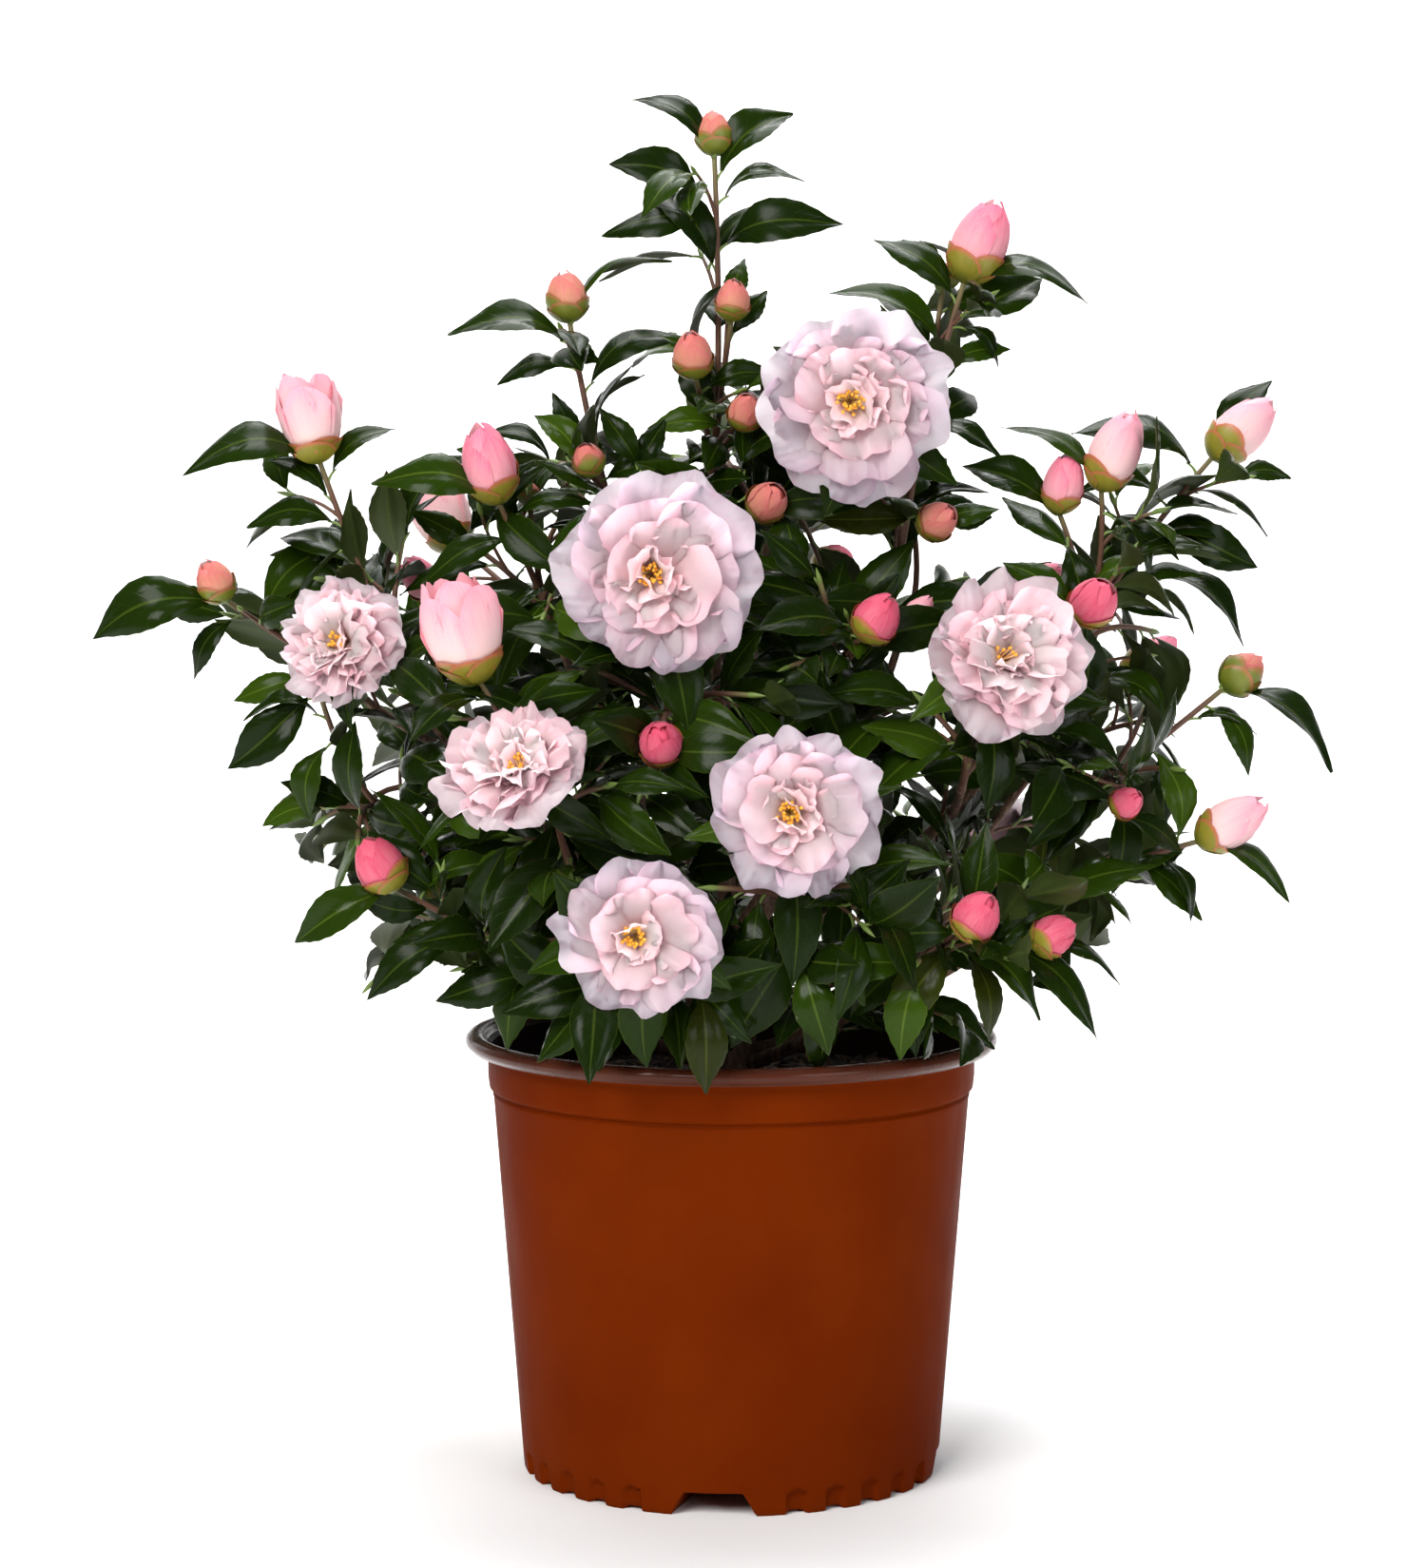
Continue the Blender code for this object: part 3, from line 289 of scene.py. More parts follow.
# Where the crown is open, as it is seen from the front: round it, and through it. Each
# is a ring of points, x and z in mm, in the upright plane through the pot's middle.
FRONT_EYE = Vector((-0.0096, -2.01, 0.525))
SKY = (
    "-400 760 -62 760 -60 712 -36 700 -24 690 -66 690 -70 664 -56 660 -40 640 -62 632"
    " -84 634 -104 632 -106 606 -144 600 -140 594 -120 588 -88 588 -78 560 -84 550"
    " -100 530 -112 545 -124 556 -142 554 -148 534 -158 547 -186 545 -196 534 -204 542"
    " -182 560 -200 566 -206 584 -232 582 -240 564 -254 558 -252 546 -284 536 -284 516"
    " -262 518 -240 512 -258 490 -286 484 -288 470 -312 472 -342 452 -340 442 -300 446"
    " -290 430 -282 432 -266 452 -240 434 -236 422 -228 417 -246 415 -266 404 -272 378"
    " -264 376 -244 390 -224 402 -208 406 -206 394 -199 381 -192 397 -180 388 -166 374"
    " -180 379 -198 379 -214 370 -214 360 -226 358 -246 346 -246 336 -226 342 -224 324"
    " -206 316 -226 304 -240 288 -238 278 -222 294 -200 301 -176 302 -186 276 -198 246"
    " -190 250 -172 264 -154 272 -153 252 -147 262 -134 258 -130 250 -140 242 -147 226"
    " -143 220 -400 200",
    "30 760 26 718 24 700 32 688 8 686 -8 676 -6 655 10 664 38 671 57 658 40 657 20 654"
    " 0 646 -8 626 8 626 16 618 14 608 6 600 -2 594 -4 580 12 574 16 562 18 580 22 594"
    " 34 600 44 618 40 624 26 629 50 638 70 632 88 612 94 626 86 642 66 649 84 656"
    " 100 648 112 640 116 652 140 662 152 658 152 636 142 628 166 630 182 622 188 604"
    " 172 613 150 617 134 616 142 610 140 600 132 606 124 596 112 586 118 572 132 570"
    " 142 560 146 546 132 556 118 558 116 540 122 526 106 526 112 506 118 516 116 521"
    " 140 526 158 518 162 522 168 532 156 538 140 544 154 550 172 546 182 552 196 562"
    " 218 569 234 560 244 548 254 560 256 574 266 582 282 582 292 572 290 560 278 550"
    " 278 542 264 534 276 530 294 523 296 504 284 516 262 518 246 514 264 510 280 504"
    " 292 484 284 480 266 494 240 499 240 496 254 488 262 478 246 480 226 482 208 476"
    " 212 470 228 462 246 452 258 426 262 436 272 434 290 425 284 412 300 406 316 396"
    " 330 364 318 374 298 390 287 380 282 392 272 402 250 402 234 398 236 382 244 370"
    " 256 364 260 350 268 348 276 336 264 328 282 328 293 316 293 304 284 316 262 322"
    " 244 326 230 322 240 310 246 292 236 300 218 308 204 312 196 312 210 302 215 284"
    " 200 281 192 286 191 273 178 276 186 256 184 236 170 246 150 258 130 268 122 264"
    " 113 252 104 258 102 250 120 242 140 232 142 214 400 200 400 760",
    "-74 602 -55 622 -35 636 -18 630 -14 620 -18 604 -35 600 -50 588 -62 570 -66 575",
    "-62 560 -45 575 -34 584 -40 562 -30 558 -20 548 -16 540 -36 542 -52 538 -60 532",
    "-172 484 -160 508 -138 508 -126 498 -145 488 -158 472 -160 480",
    "-144 468 -122 490 -110 486 -98 462 -112 468 -130 467",
    "-190 512 -180 505 -190 486 -196 488",
    "-256 466 -242 486 -240 462 -237 450 -248 458",
    "-187 350 -185 364 -172 372 -160 368 -172 360 -182 347",
    "-118 436 -100 440 -98 430 -110 426",
    "-101 292 -96 296 -90 287 -95 283",
    "-108 318 -102 320 -100 312 -106 310",
    "-104 500 -98 486 -88 476 -92 500",
    "36 497 50 500 54 490 50 480 40 480",
    "58 490 70 500 84 484 82 472 62 470",
    "92 470 100 492 106 500 148 500 152 508 166 498 166 480 162 466 150 476 126 478"
    " 122 472 104 462 98 466",
    "188 504 198 500 192 484 186 484",
    "222 540 238 536 232 522 226 532",
    "178 440 200 440 226 452 246 436 252 412 234 404 234 420 228 434 212 440 200 428",
    "216 374 230 378 236 350 232 332 228 340 229 356",
    "186 340 182 348 196 352 204 346",
    "136 352 150 358 157 354 156 340 146 330 138 322",
    "180 334 196 346 204 340 206 328 190 330",
    "80 352 88 356 96 350 96 341 88 346",
    "100 342 104 324 112 306 106 308 100 322",
    "-8 404 -4 406 0 398 -6 397",
    "-8 432 -2 434 -2 420 -6 420",
    "70 430 78 428 76 412 70 412",
    "84 438 96 436 104 424 116 410 100 408 88 412 82 424",
    "186 398 206 402 208 384 196 376 188 384",
)
SKY = [[tuple(map(float, ring.split()[at:at + 2])) for at in range(0, len(ring.split()), 2)]
       for ring in SKY]
OVER_BOX = 5 * MM  # how far leaves may pass the solids' box


# Paths


def bend(start, middle, end, spans):
    """Points on a curve that leaves start towards middle and comes to end."""
    points = []
    for step in range(spans + 1):
        t = step / spans
        points.append(start * (1 - t) ** 2 + middle * (2 * t * (1 - t)) + end * t * t)
    return points


def taper(foot, tip, spans):
    return [foot + (tip - foot) * step / spans for step in range(spans + 1)]


def point_at(points, share):
    """The point this share of the way up a path, and the path's direction there."""
    place = share * (len(points) - 1)
    step = min(int(place), len(points) - 2)
    run = points[step + 1] - points[step]
    return points[step] + run * (place - step), run.normalized()


def point_below(points, distance):
    """The point this far down a path from its tip, or its foot, and the direction."""
    for low, high in zip(points[-2::-1], points[:0:-1]):
        run = high - low
        if distance <= run.length:
            return high - run.normalized() * distance, run.normalized()
        distance -= run.length
    return points[0], (points[1] - points[0]).normalized()


def length_of(points):
    return sum((high - low).length for low, high in zip(points, points[1:]))


def frames(points):
    """At each point of a path: its direction, and two directions square to it."""
    side = (points[1] - points[0]).orthogonal()
    found = []
    for step in range(len(points)):
        along = points[min(step + 1, len(points) - 1)] - points[max(step - 1, 0)]
        along.normalize()
        side = (side - along * side.dot(along)).normalized()
        found.append((along, side, along.cross(side)))
    return found


def around(side, rise, turn):
    """The direction at this turn from side towards rise, which are square to each other."""
    return side * math.cos(turn) + rise * math.sin(turn)


def axes_at(point, along):
    """A direction at a point, and two directions square to it."""
    return frames([point, point + along])[0]


def square_to(along, turn):
    """A direction square to along, at this turn round it."""
    return Matrix.Rotation(turn, 3, along) @ along.orthogonal().normalized()


def any_turn(rng):
    return rng.uniform(0, math.tau)


def outward(point):
    """Away from the plant's middle, level. The middle itself looks to the front."""
    level = Vector((point.x, point.y - 0.04, 0))
    return level.normalized() if level.length > MM else Vector((0, -1, 0))


# The shrub's plan


def plan_limbs():
    """Each limb's points and radii, by name: the trunk, and a bough for each mass."""
    foot = Vector((0, 0, SOIL_LEVEL + SOIL_CROWN))
    collar = foot + Vector((0, 0, TRUNK_COLLAR))
    trunk = [foot] + [collar.lerp(TRUNK_TOP, rise) for rise in TRUNK_RISES]
    limbs = {"trunk": (trunk, list(TRUNK_RADII))}
    for name, parent, share, tip, _ in CROWN:
        points, radii = limbs[parent]
        start, _ = point_at(points, share)
        room = radii[0] + (radii[-1] - radii[0]) * share
        reach = Vector(tip) * MM - start
        middle = start + Vector((reach.x * BOUGH_OUT, reach.y * BOUGH_OUT, reach.z * BOUGH_UP))
        stout = min(BOUGH_FOOT, room * BOUGH_SEAT)
        path = bend(start, middle, start + reach, BOUGH_SPANS)
        limbs[name] = (path, taper(stout, BOUGH_TIP, BOUGH_SPANS))
    return limbs


def fan(rng, name, tip, middle):
    """The shoots of a back mass: they fan outward and up from the bough's tip."""
    axis = (outward(tip) + Vector((0, 0, 0.5 if "low" in name else 0.85))).normalized()
    side = axis.cross(Vector((0, 0, 1))).normalized()
    rise = side.cross(axis)
    ends = [tip + axis * FAN_REACH[0] * (0.75 if middle[0] == "bloom" else 1.2)]
    first = any_turn(rng)
    for index in range(FAN_SHOOTS):
        out = around(side, rise, first + index * math.tau / FAN_SHOOTS)
        way = around(axis, out, FAN_SPREAD)
        ends.append(tip + way * rng.uniform(*FAN_REACH))
    bears = [middle] + [rng.choice(FAN_BEARS) for _ in range(FAN_SHOOTS)]
    leaves = ["0.6 3 5.4 7.8 10.2" if borne[0] == "bloom" else "" for borne in bears]
    return [(*(end / MM), borne, words) for end, borne, words in zip(ends, bears, leaves)]


def plan_twigs(limb, shoots):
    """One stem on from the bough's tip, and a twig from it to the end of each shoot."""
    points, radii = limb
    along = (points[-1] - points[-2]).normalized()
    start = points[-1]
    ends = [Vector(shoot[:3]) * MM for shoot in shoots]
    middle = sum(ends, Vector()) / len(ends)
    lead = (along * 0.5 + (middle - start).normalized() * 0.5).normalized()
    run = max(STEM_LEAST, (middle - start).length * STEM_SHARE)
    foot = start - along * 2 * MM  # a little inside the bough
    stem = bend(foot, start + along * run * 0.5, start + lead * run, STEM_SPANS)
    twigs = [(stem, taper(radii[-1] * 0.98, STEM_TIP, STEM_SPANS), None, "")]
    for index, (end, shoot) in enumerate(zip(ends, shoots)):
        fork, way = point_at(stem, FORK_TOP - FORK_STEP * (index % 3))
        reach = end - fork
        path = bend(fork, fork + way * reach.length * TWIG_BEND, end, TWIG_SPANS)
        twigs.append((path, taper(TWIG_FOOT, TWIG_TIP, TWIG_SPANS), shoot[3], shoot[4]))
    return twigs


def clock(hour, depth):
    """The direction of an hour on a clock seen from the front, tipped in depth."""
    turn = math.radians(hour * 30)
    return Vector((math.sin(turn), depth, math.cos(turn))).normalized()


# Joined meshes


class Heap:
    """Many small bodies of one kind, joined as they are made into one mesh."""

    def __init__(self, name, finishes):
        self.name, self.finishes = name, finishes
        self.points, self.uvs, self.quads, self.slots = [], [], [], []
        self.count = 0

    def add(self, points, uvs, quads, slots=0):
        """Points with a place in the finish's own pattern, and faces of 4 (or 3, -1)."""
        self.points.append(points)
        self.uvs.append(uvs)
        self.quads.append(np.where(quads >= 0, quads + self.count, -1))
        self.slots.append(np.broadcast_to(slots, len(quads)))
        self.count += len(points)

    def make(self):
        points, uvs = np.concatenate(self.points), np.concatenate(self.uvs)
        quads, slots = np.concatenate(self.quads), np.concatenate(self.slots)
        keep = quads.ravel() >= 0
        corners = quads.ravel()[keep].astype(np.int32)
        sizes = 3 + (quads[:, 3] >= 0).astype(np.int32)
        mesh = bpy.data.meshes.new(self.name)
        mesh.vertices.add(len(points))
        mesh.vertices.foreach_set("co", points.astype(np.float32).ravel())
        mesh.loops.add(len(corners))
        mesh.loops.foreach_set("vertex_index", corners)
        mesh.polygons.add(len(sizes))
        mesh.polygons.foreach_set("loop_start", (np.cumsum(sizes) - sizes).astype(np.int32))
        mesh.polygons.foreach_set("material_index", slots.astype(np.int32))
        mesh.update(calc_edges=True)
        layer = mesh.uv_layers.new(name="OFBake")
        layer.data.foreach_set("uv", uvs[corners].astype(np.float32).ravel())
        mesh.shade_smooth()
        mesh.set_sharp_from_angle(angle=SHARP)
        for finish in self.finishes:
            mesh.materials.append(finish)
        made = bpy.data.objects.new(self.name, mesh)
        bpy.context.scene.collection.objects.link(made)
        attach(made, "root")
        return made


def ring_faces(count, sides):
    """The faces between rings of points, and the two fans that close their ends."""
    ring = np.arange(sides)
    after = (ring + 1) % sides
    low = np.arange(count - 1)[:, None] * sides
    quads = np.stack([low + ring, low + after, low + sides + after, low + sides + ring], axis=-1)
    none = np.full(sides, -1)
    foot, top = count * sides, (count - 1) * sides
    caps = (np.stack([after, ring, np.full(sides, foot), none], axis=-1),
            np.stack([top + ring, top + after, np.full(sides, foot + 1), none], axis=-1))
    return np.concatenate([quads.reshape(-1, 4), *caps])


def make_plain(heap, points, faces, slots=0):
    """A piece of one body, whose finishes have no pattern that runs with its shape."""
    heap.add(points, np.zeros((len(points), 2)), faces, slots)
    made = heap.make()
    made.data.uv_layers.remove(made.data.uv_layers[0])
    return made


def tube(heap, path, radii, sides, slot=0, bumps=None):
    """A limb of round section with closed ends; its pattern runs foot to tip."""
    rings = []
    turns = math.tau * np.arange(sides) / sides
    for (_, side, rise), point, radius in zip(frames(path), path, radii):
        reach = np.outer(np.cos(turns), side) + np.outer(np.sin(turns), rise)
        rings.append(np.array(point) + reach * radius)
    points = np.array(rings)
    if bumps:
        points = bumps(points)
    count = len(path)
    lengths = np.cumsum([0] + [(b - a).length for a, b in zip(path, path[1:])])
    v = np.repeat(lengths / lengths[-1], sides)
    u = np.tile(np.abs(np.linspace(-1, 1, sides, endpoint=False)), count)
    ends = np.array([path[0], path[-1]]) + np.outer([0, 0.3], path[-1] - path[-2])
    uvs = np.concatenate([np.stack([u, v], axis=-1), [[0.5, 0], [0.5, 1]]])
    points = np.concatenate([points.reshape(-1, 3), ends])
    heap.add(points, uvs, ring_faces(count, sides), slot)


def sheet(heap, top, under, slots=(0, 1)):
    """A thin closed body from two grids that share their rim: rows by columns by 3.

    The first and last rows, and the first and last columns, are top's for both.
    """
    rows, columns = top.shape[:2]
    index = np.arange(rows * columns).reshape(rows, columns)
    below = index.copy()
    extra = rows * columns + np.arange((rows - 2) * (columns - 2))
    below[1:-1, 1:-1] = extra.reshape(rows - 2, columns - 2)

    def faces(table):
        corners = (table[:-1, :-1], table[:-1, 1:], table[1:, 1:], table[1:, :-1])
        return np.stack(corners, axis=-1).reshape(-1, 4)

    points = np.concatenate([top.reshape(-1, 3), under[1:-1, 1:-1].reshape(-1, 3)])
    v, u = np.meshgrid(np.linspace(0, 1, rows), np.linspace(0, 1, columns), indexing="ij")
    uv = np.stack([u, v], axis=-1)
    uvs = np.concatenate([uv.reshape(-1, 2), uv[1:-1, 1:-1].reshape(-1, 2)])
    quads = np.concatenate([faces(index), faces(below)[:, ::-1]])
    heap.add(points, uvs, quads, np.repeat(slots, len(quads) // 2))


# Leaves


ACROSS = np.array([-1, -0.72, -0.38, 0, 0.38, 0.72, 1])  # a blade's columns
VEINS = 7  # pairs of side veins, here and in the finish


def leaf(heap, rng, root, tip, face, droop=0.0):
    """An arched, folded blade with a toothed rim and a drawn-out tip."""
    root, tip, face = (np.array(value) for value in (root, tip, face))
    chord = tip - root
    length = np.linalg.norm(chord)
    way = chord / length
    face = face - way * face.dot(way)
    face = face / np.linalg.norm(face)
    side = np.cross(way, face)
    arch = rng.uniform(0.06, 0.19) + droop
    bow = rng.uniform(-0.05, 0.05)
    fold = rng.uniform(0.12, 0.50)
    curl = rng.uniform(0.10, 0.48)
    twist = rng.uniform(-0.45, 0.45)
    half = length * rng.uniform(*LEAF_WIDTH) / 2
    wave, waves, phase = rng.uniform(0.02, 0.07), rng.uniform(1.2, 2.4), rng.uniform(0, 6.28)

    t = np.linspace(0, 1, LEAF_ROWS + 1)
    middle = (root + np.outer(t, chord) + np.outer(np.sin(np.pi * t ** 0.82), face) * arch * length
              + np.outer(np.sin(np.pi * t), side) * bow * length)
    along = np.gradient(middle, axis=0)
    along /= np.linalg.norm(along, axis=1)[:, None]
    turn = (twist * (t - 0.35))[:, None]
    across = side * np.cos(turn) + face * np.sin(turn)
    across -= along * (across * along).sum(axis=1)[:, None]
    across /= np.linalg.norm(across, axis=1)[:, None]
    up = np.cross(across, along)

    width = half * np.sin(np.pi * t ** 0.90) ** 1.12
    width[0], width[-1] = 0.5 * MM, 0.25 * MM
    teeth = np.where(np.arange(LEAF_ROWS + 1) % 2, 0.35 * MM, -0.1 * MM)
    teeth[[0, -1]] = 0
    u = ACROSS[None, :]
    flat = np.abs(u)
    lift = (fold * flat - curl * flat ** 3) * width[:, None]
    swing = wave * half * np.sin(waves * math.tau * t + phase)[:, None]
    lift = lift + swing * flat ** 2 * np.sign(u + 1e-9)
    veins = 0.12 * MM * np.cos(math.tau * (VEINS * t[:, None] - 1.6 * flat))
    veins = veins * (flat > 0) * (flat < 1)
    groove = -0.25 * MM * (flat == 0)
    out = u * width[:, None] + np.sign(u) * teeth[:, None] * (flat == 1)
    place = middle[:, None] + across[:, None] * out[..., None]
    top = place + up[:, None] * (lift + veins + groove)[..., None]
    thick = LEAF_THICK * (1 + 1.2 * (flat == 0)) * np.minimum(1, width[:, None] / (3 * MM))
    under = place + up[:, None] * (lift + 0.4 * veins - thick)[..., None]
    sheet(heap, top[:, ::-1], under[:, ::-1])


# Blooms


def petal(heap, rng, foot, out, axis, long, wide, lift, drop, ruffle, cup, lean=0.0,
          rows=10, columns=15):
    """One petal: it leaves foot at lift over the level of its bloom and drops as it goes.

    It leans, so that one edge lies over its neighbour and the other under the next.
    """
    side = np.cross(axis, out)
    v = np.linspace(0, 1, rows)[:, None]
    u = np.linspace(-1, 1, columns)[None, :]
    notch = rng.uniform(0.01, 0.10)
    place, phase = rng.uniform(-0.35, 0.35), rng.uniform(0, 6.28)
    rim = 1 - 0.26 * np.abs(u) ** 2.4 - notch * np.exp(-((u - place) / 0.30) ** 2)
    rim = rim + 0.022 * np.sin(4.5 * u + phase)
    t = v * rim
    steps = np.linspace(0, 1.05, 40)
    angle = lift - drop * steps ** 1.3
    reach = np.concatenate([[0], np.cumsum(np.cos(angle[:-1]) * np.diff(steps))]) * long
    rise = np.concatenate([[0], np.cumsum(np.sin(angle[:-1]) * np.diff(steps))]) * long
    r, z, a = (np.interp(t, steps, values) for values in (reach, rise, angle))
    spread = np.minimum(1, t / 0.72)
    half = wide / 2 * (0.18 + 0.82 * np.sin(spread * np.pi / 2) ** 1.15)
    half = half * (1 - 0.10 * np.clip((t - 0.8) / 0.2, 0, 1) ** 2)
    knots = rng.uniform(0.9, 2.1)
    fold = (cup * u ** 2 + lean * u) * half
    frill = ruffle * long * v ** 3 * np.sin(np.pi * knots * u + phase)
    frill = frill + 0.45 * ruffle * long * v ** 4 * np.sin(np.pi * 2.4 * knots * u + 2 * phase)
    bump = fold + frill
    radial = out * (r - bump * np.sin(a))[..., None]
    upward = axis * (z + bump * np.cos(a))[..., None]
    top = foot + radial + upward + side * (u * half)[..., None]
    normal = axis * np.cos(a)[..., None] - out * np.sin(a)[..., None]
    sheet(heap, top, top - normal * 0.45 * MM, slots=(0, 0))


# Rings of a bloom, outermost first: petals, reach, width, lift, drop (degrees), ruffle,
# cup, and how far from the axis they start; all lengths as shares of the bloom's width.
OPEN_RINGS = (
    (8, 0.56, 0.49, 42, 60, 0.080, 0.02, 0.010),
    (7, 0.48, 0.45, 46, 56, 0.100, 0.05, 0.010),
    (6, 0.38, 0.38, 54, 52, 0.120, 0.08, 0.015),
)
FULL_RINGS = (
    (8, 0.54, 0.44, 42, 58, 0.08, 0.04, 0.020),
    (8, 0.48, 0.36, 48, 56, 0.10, 0.07, 0.020),
    (9, 0.42, 0.30, 54, 52, 0.11, 0.10, 0.030),
    (9, 0.35, 0.27, 62, 48, 0.13, 0.14, 0.035),
)
CRUMPLES = {"open": 16, "full": 22}
STAMENS = {"open": 28, "full": 10}
LEAN = 0.11  # how far a petal's edges tip, of half its width, on average
STRAY = 2.2  # how much less regular the inner rings are than the outermost


def make_bloom(heaps, rng, tip, facing, width, sort):
    """An open bloom: rings of ruffled petals, crumpled ones in the middle, and stamens."""
    axis = np.array(facing)
    side, rise = (np.array(way) for way in axes_at(tip, facing)[1:])
    tip = np.array(tip)
    rings = OPEN_RINGS if sort == "open" else FULL_RINGS
    for row, (count, long, wide, lift, drop, ruffle, cup, start) in enumerate(rings):
        first = any_turn(rng)
        stray = 1 if row == 0 else STRAY
        for index in range(count):
            turn = first + (index + stray * rng.uniform(-0.14, 0.14)) * math.tau / count
            out = around(side, rise, turn)
            foot = tip + out * start * width + axis * (0.03 + 0.035 * row) * width
            tint = row if sort == "open" else (1, 2, 2, 3)[row]
            petal(heaps[f"petals_{tint}"], rng, foot, out, axis,
                  long * width * (1 - stray * rng.uniform(-0.05, 0.10)),
                  wide * width * rng.uniform(0.84, 1.16),
                  math.radians(lift + stray * rng.uniform(-3, 3)),
                  math.radians(drop + stray * rng.uniform(-6, 6)),
                  ruffle * rng.uniform(0.7, 1.4), cup, LEAN * (0.6 + 0.8 * (index % 2)))
    heart = tip + axis * 0.13 * width + (side * 0.025 - rise * 0.03) * width
    for index in range(CRUMPLES[sort]):
        share = (index + 0.5) / CRUMPLES[sort]
        out = around(side, rise, index * GOLDEN + rng.uniform(-0.3, 0.3))
        foot = heart + out * (0.035 + 0.085 * share) * width + axis * 0.03 * (1 - share) * width
        turned = Matrix.Rotation(rng.uniform(-0.6, 0.6), 3, Vector(axis)) @ Vector(out)
        petal(heaps["petals_3"], rng, foot, np.array(turned), axis,
              rng.uniform(0.13, 0.21) * width, rng.uniform(0.18, 0.27) * width,
              math.radians(78 - 44 * share + rng.uniform(-12, 12)),
              math.radians(rng.uniform(-10, 60)),
              rng.uniform(0.09, 0.18), rng.uniform(0.0, 0.4), rng.uniform(-0.25, 0.25),
              rows=8, columns=10)
    for index in range(STAMENS[sort]):
        start = 0.048 * width * math.sqrt((index + 0.5) / STAMENS[sort])
        out = Vector(around(side, rise, index * GOLDEN))
        foot = Vector(heart) + out * start * 0.5
        reach = rng.uniform(0.085, 0.13) * width
        top = foot + (facing + out * rng.uniform(0.1, 0.5)).normalized() * reach
        tube(heaps["stamens"], [foot, top], [0.45 * MM, 0.35 * MM], 4)
        knob = (top - foot).normalized()
        anther = [top - knob * 0.4 * MM, top, top + knob * 0.9 * MM, top + knob * 1.8 * MM]
        tube(heaps["stamens"], anther, [0.3 * MM, 1.0 * MM, 1.0 * MM, 0.3 * MM], 5, slot=1)


# Buds


def egg(height):
    """An egg's radius, of its greatest, at a height from 0 to 1."""
    return math.sin(math.pi * min(max(height, 0), 1) ** 0.86) ** 0.62


def bud_core(heap, tip, along, width, tall):
    """The closed heart of a bud, under its petals."""
    steps = [0.0, 0.08, 0.22, 0.4, 0.6, 0.78, 0.9, 0.97, 1.0]
    foot = tip - along * 0.10 * tall
    path = [foot + along * 1.08 * tall * step for step in steps]
    tube(heap, path, [max(0.2 * MM, egg(step) * width * 0.47) for step in steps], 12)


def scale(heap, tip, axes, width, tall, turn, span, top, layer, flare=0.0, pointed=0.34):
    """A petal or sepal that wraps a bud: part of an egg, with a round top."""
    along, side, rise = (np.array(axis) for axis in axes)
    rows, columns = 8, 9
    v = np.linspace(0, 1, rows)[:, None]
    u = np.linspace(-1, 1, columns)[None, :]
    height = v * (1 - pointed * np.abs(u) ** 2.2) * top
    round_ = turn + u * span / 2 * (0.55 + 0.45 * np.minimum(1, v * 2.2))
    radius = np.vectorize(egg)(height) * width / 2 + layer * MM * (0.4 + 0.6 * v)
    radius = radius + flare * width * v ** 3 * (0.75 + 0.25 * np.sin(5 * u + turn))
    place = np.array(tip) - along * 0.10 * tall
    level = height * tall * 1.1 * (1 + 0.02 * np.sin(4 * u + turn))
    out = side * np.cos(round_)[..., None] + rise * np.sin(round_)[..., None]
    top_grid = place + along * level[..., None] + out * radius[..., None]
    sheet(heap, top_grid, top_grid - out * 0.35 * MM, slots=(0, 0))


# A bud's tint: the heaps of its petals and sepals, how far up the sepals come, and how
# tall it is for its width.
TINTS = {
    "warm": ("bud_warm", "sepals_green", 0.60, 1.16),
    "pink": ("bud_pink", "sepals_warm", 0.46, 1.40),
    "hot": ("bud_hot", "sepals_warm", 0.50, 1.12),
    "pale": ("bud_pale", "sepals_warm", 0.42, 1.50),
    "green": ("bud_warm", "sepals_green", 0.90, 1.12),
}
# An opening bud's petals, innermost first: how many, how far up they come, how far out
# they lie (mm), how far their rims flare, and their width.
TIERS = ((3, 0.86, 0.0, 0.08, 0.88), (4, 0.87, 0.6, 0.09, 0.92), (4, 0.77, 1.2, 0.08, 0.97))
OPENING_WIDTH = 0.90  # of the stated width
OPENING_TALL = 1.64
OPENING_REACH = 0.29  # how far up its sepals come
SEPALS = 7
SEPAL_TURN = 2.4  # radians, from one sepal to the next
SEPAL_LAYER = {"opening": 2.1, "bud": 0.75}  # mm out from the egg


def make_bud(heaps, rng, tip, along, width, kind, tint):
    """A bud: petals wrapped round one another, in a cup of overlapping sepals."""
    axes = axes_at(tip, along)
    petals, sepals, reach, tall = TINTS[tint]
    tall *= width
    first = any_turn(rng)
    core = (0.7, 1.04 * width) if kind == "opening" else (0.93, 0.94 * tall)
    bud_core(heaps[petals], tip, along, width * core[0], core[1])
    if kind == "opening":
        width *= OPENING_WIDTH
        tall = width * OPENING_TALL
        reach = OPENING_REACH
        for count, top, layer, flare, out in TIERS:
            for index in range(count):
                turn = first + index * math.tau / count + layer
                scale(heaps[petals], tip, axes, width * out, tall, turn,
                      math.radians(400 / count), top * rng.uniform(0.94, 1.0),
                      layer + 0.25 * (index % 2), flare=flare * rng.uniform(0.6, 1.5))
    else:
        for index in range(5):
            turn = first + index * 2.5
            scale(heaps[petals], tip, axes, width * 0.93, tall, turn, math.radians(165),
                  1.0 - 0.03 * index, 0.16 * index)
    for index in range(SEPALS):
        turn = first + 0.9 + index * SEPAL_TURN
        top = max(0.22, reach * (1 - 0.08 * index) * rng.uniform(0.86, 1.1))
        scale(heaps[sepals], tip, axes, width * 0.97, tall, turn, math.radians(124), top,
              SEPAL_LAYER[kind] + 0.16 * index, pointed=0.50)


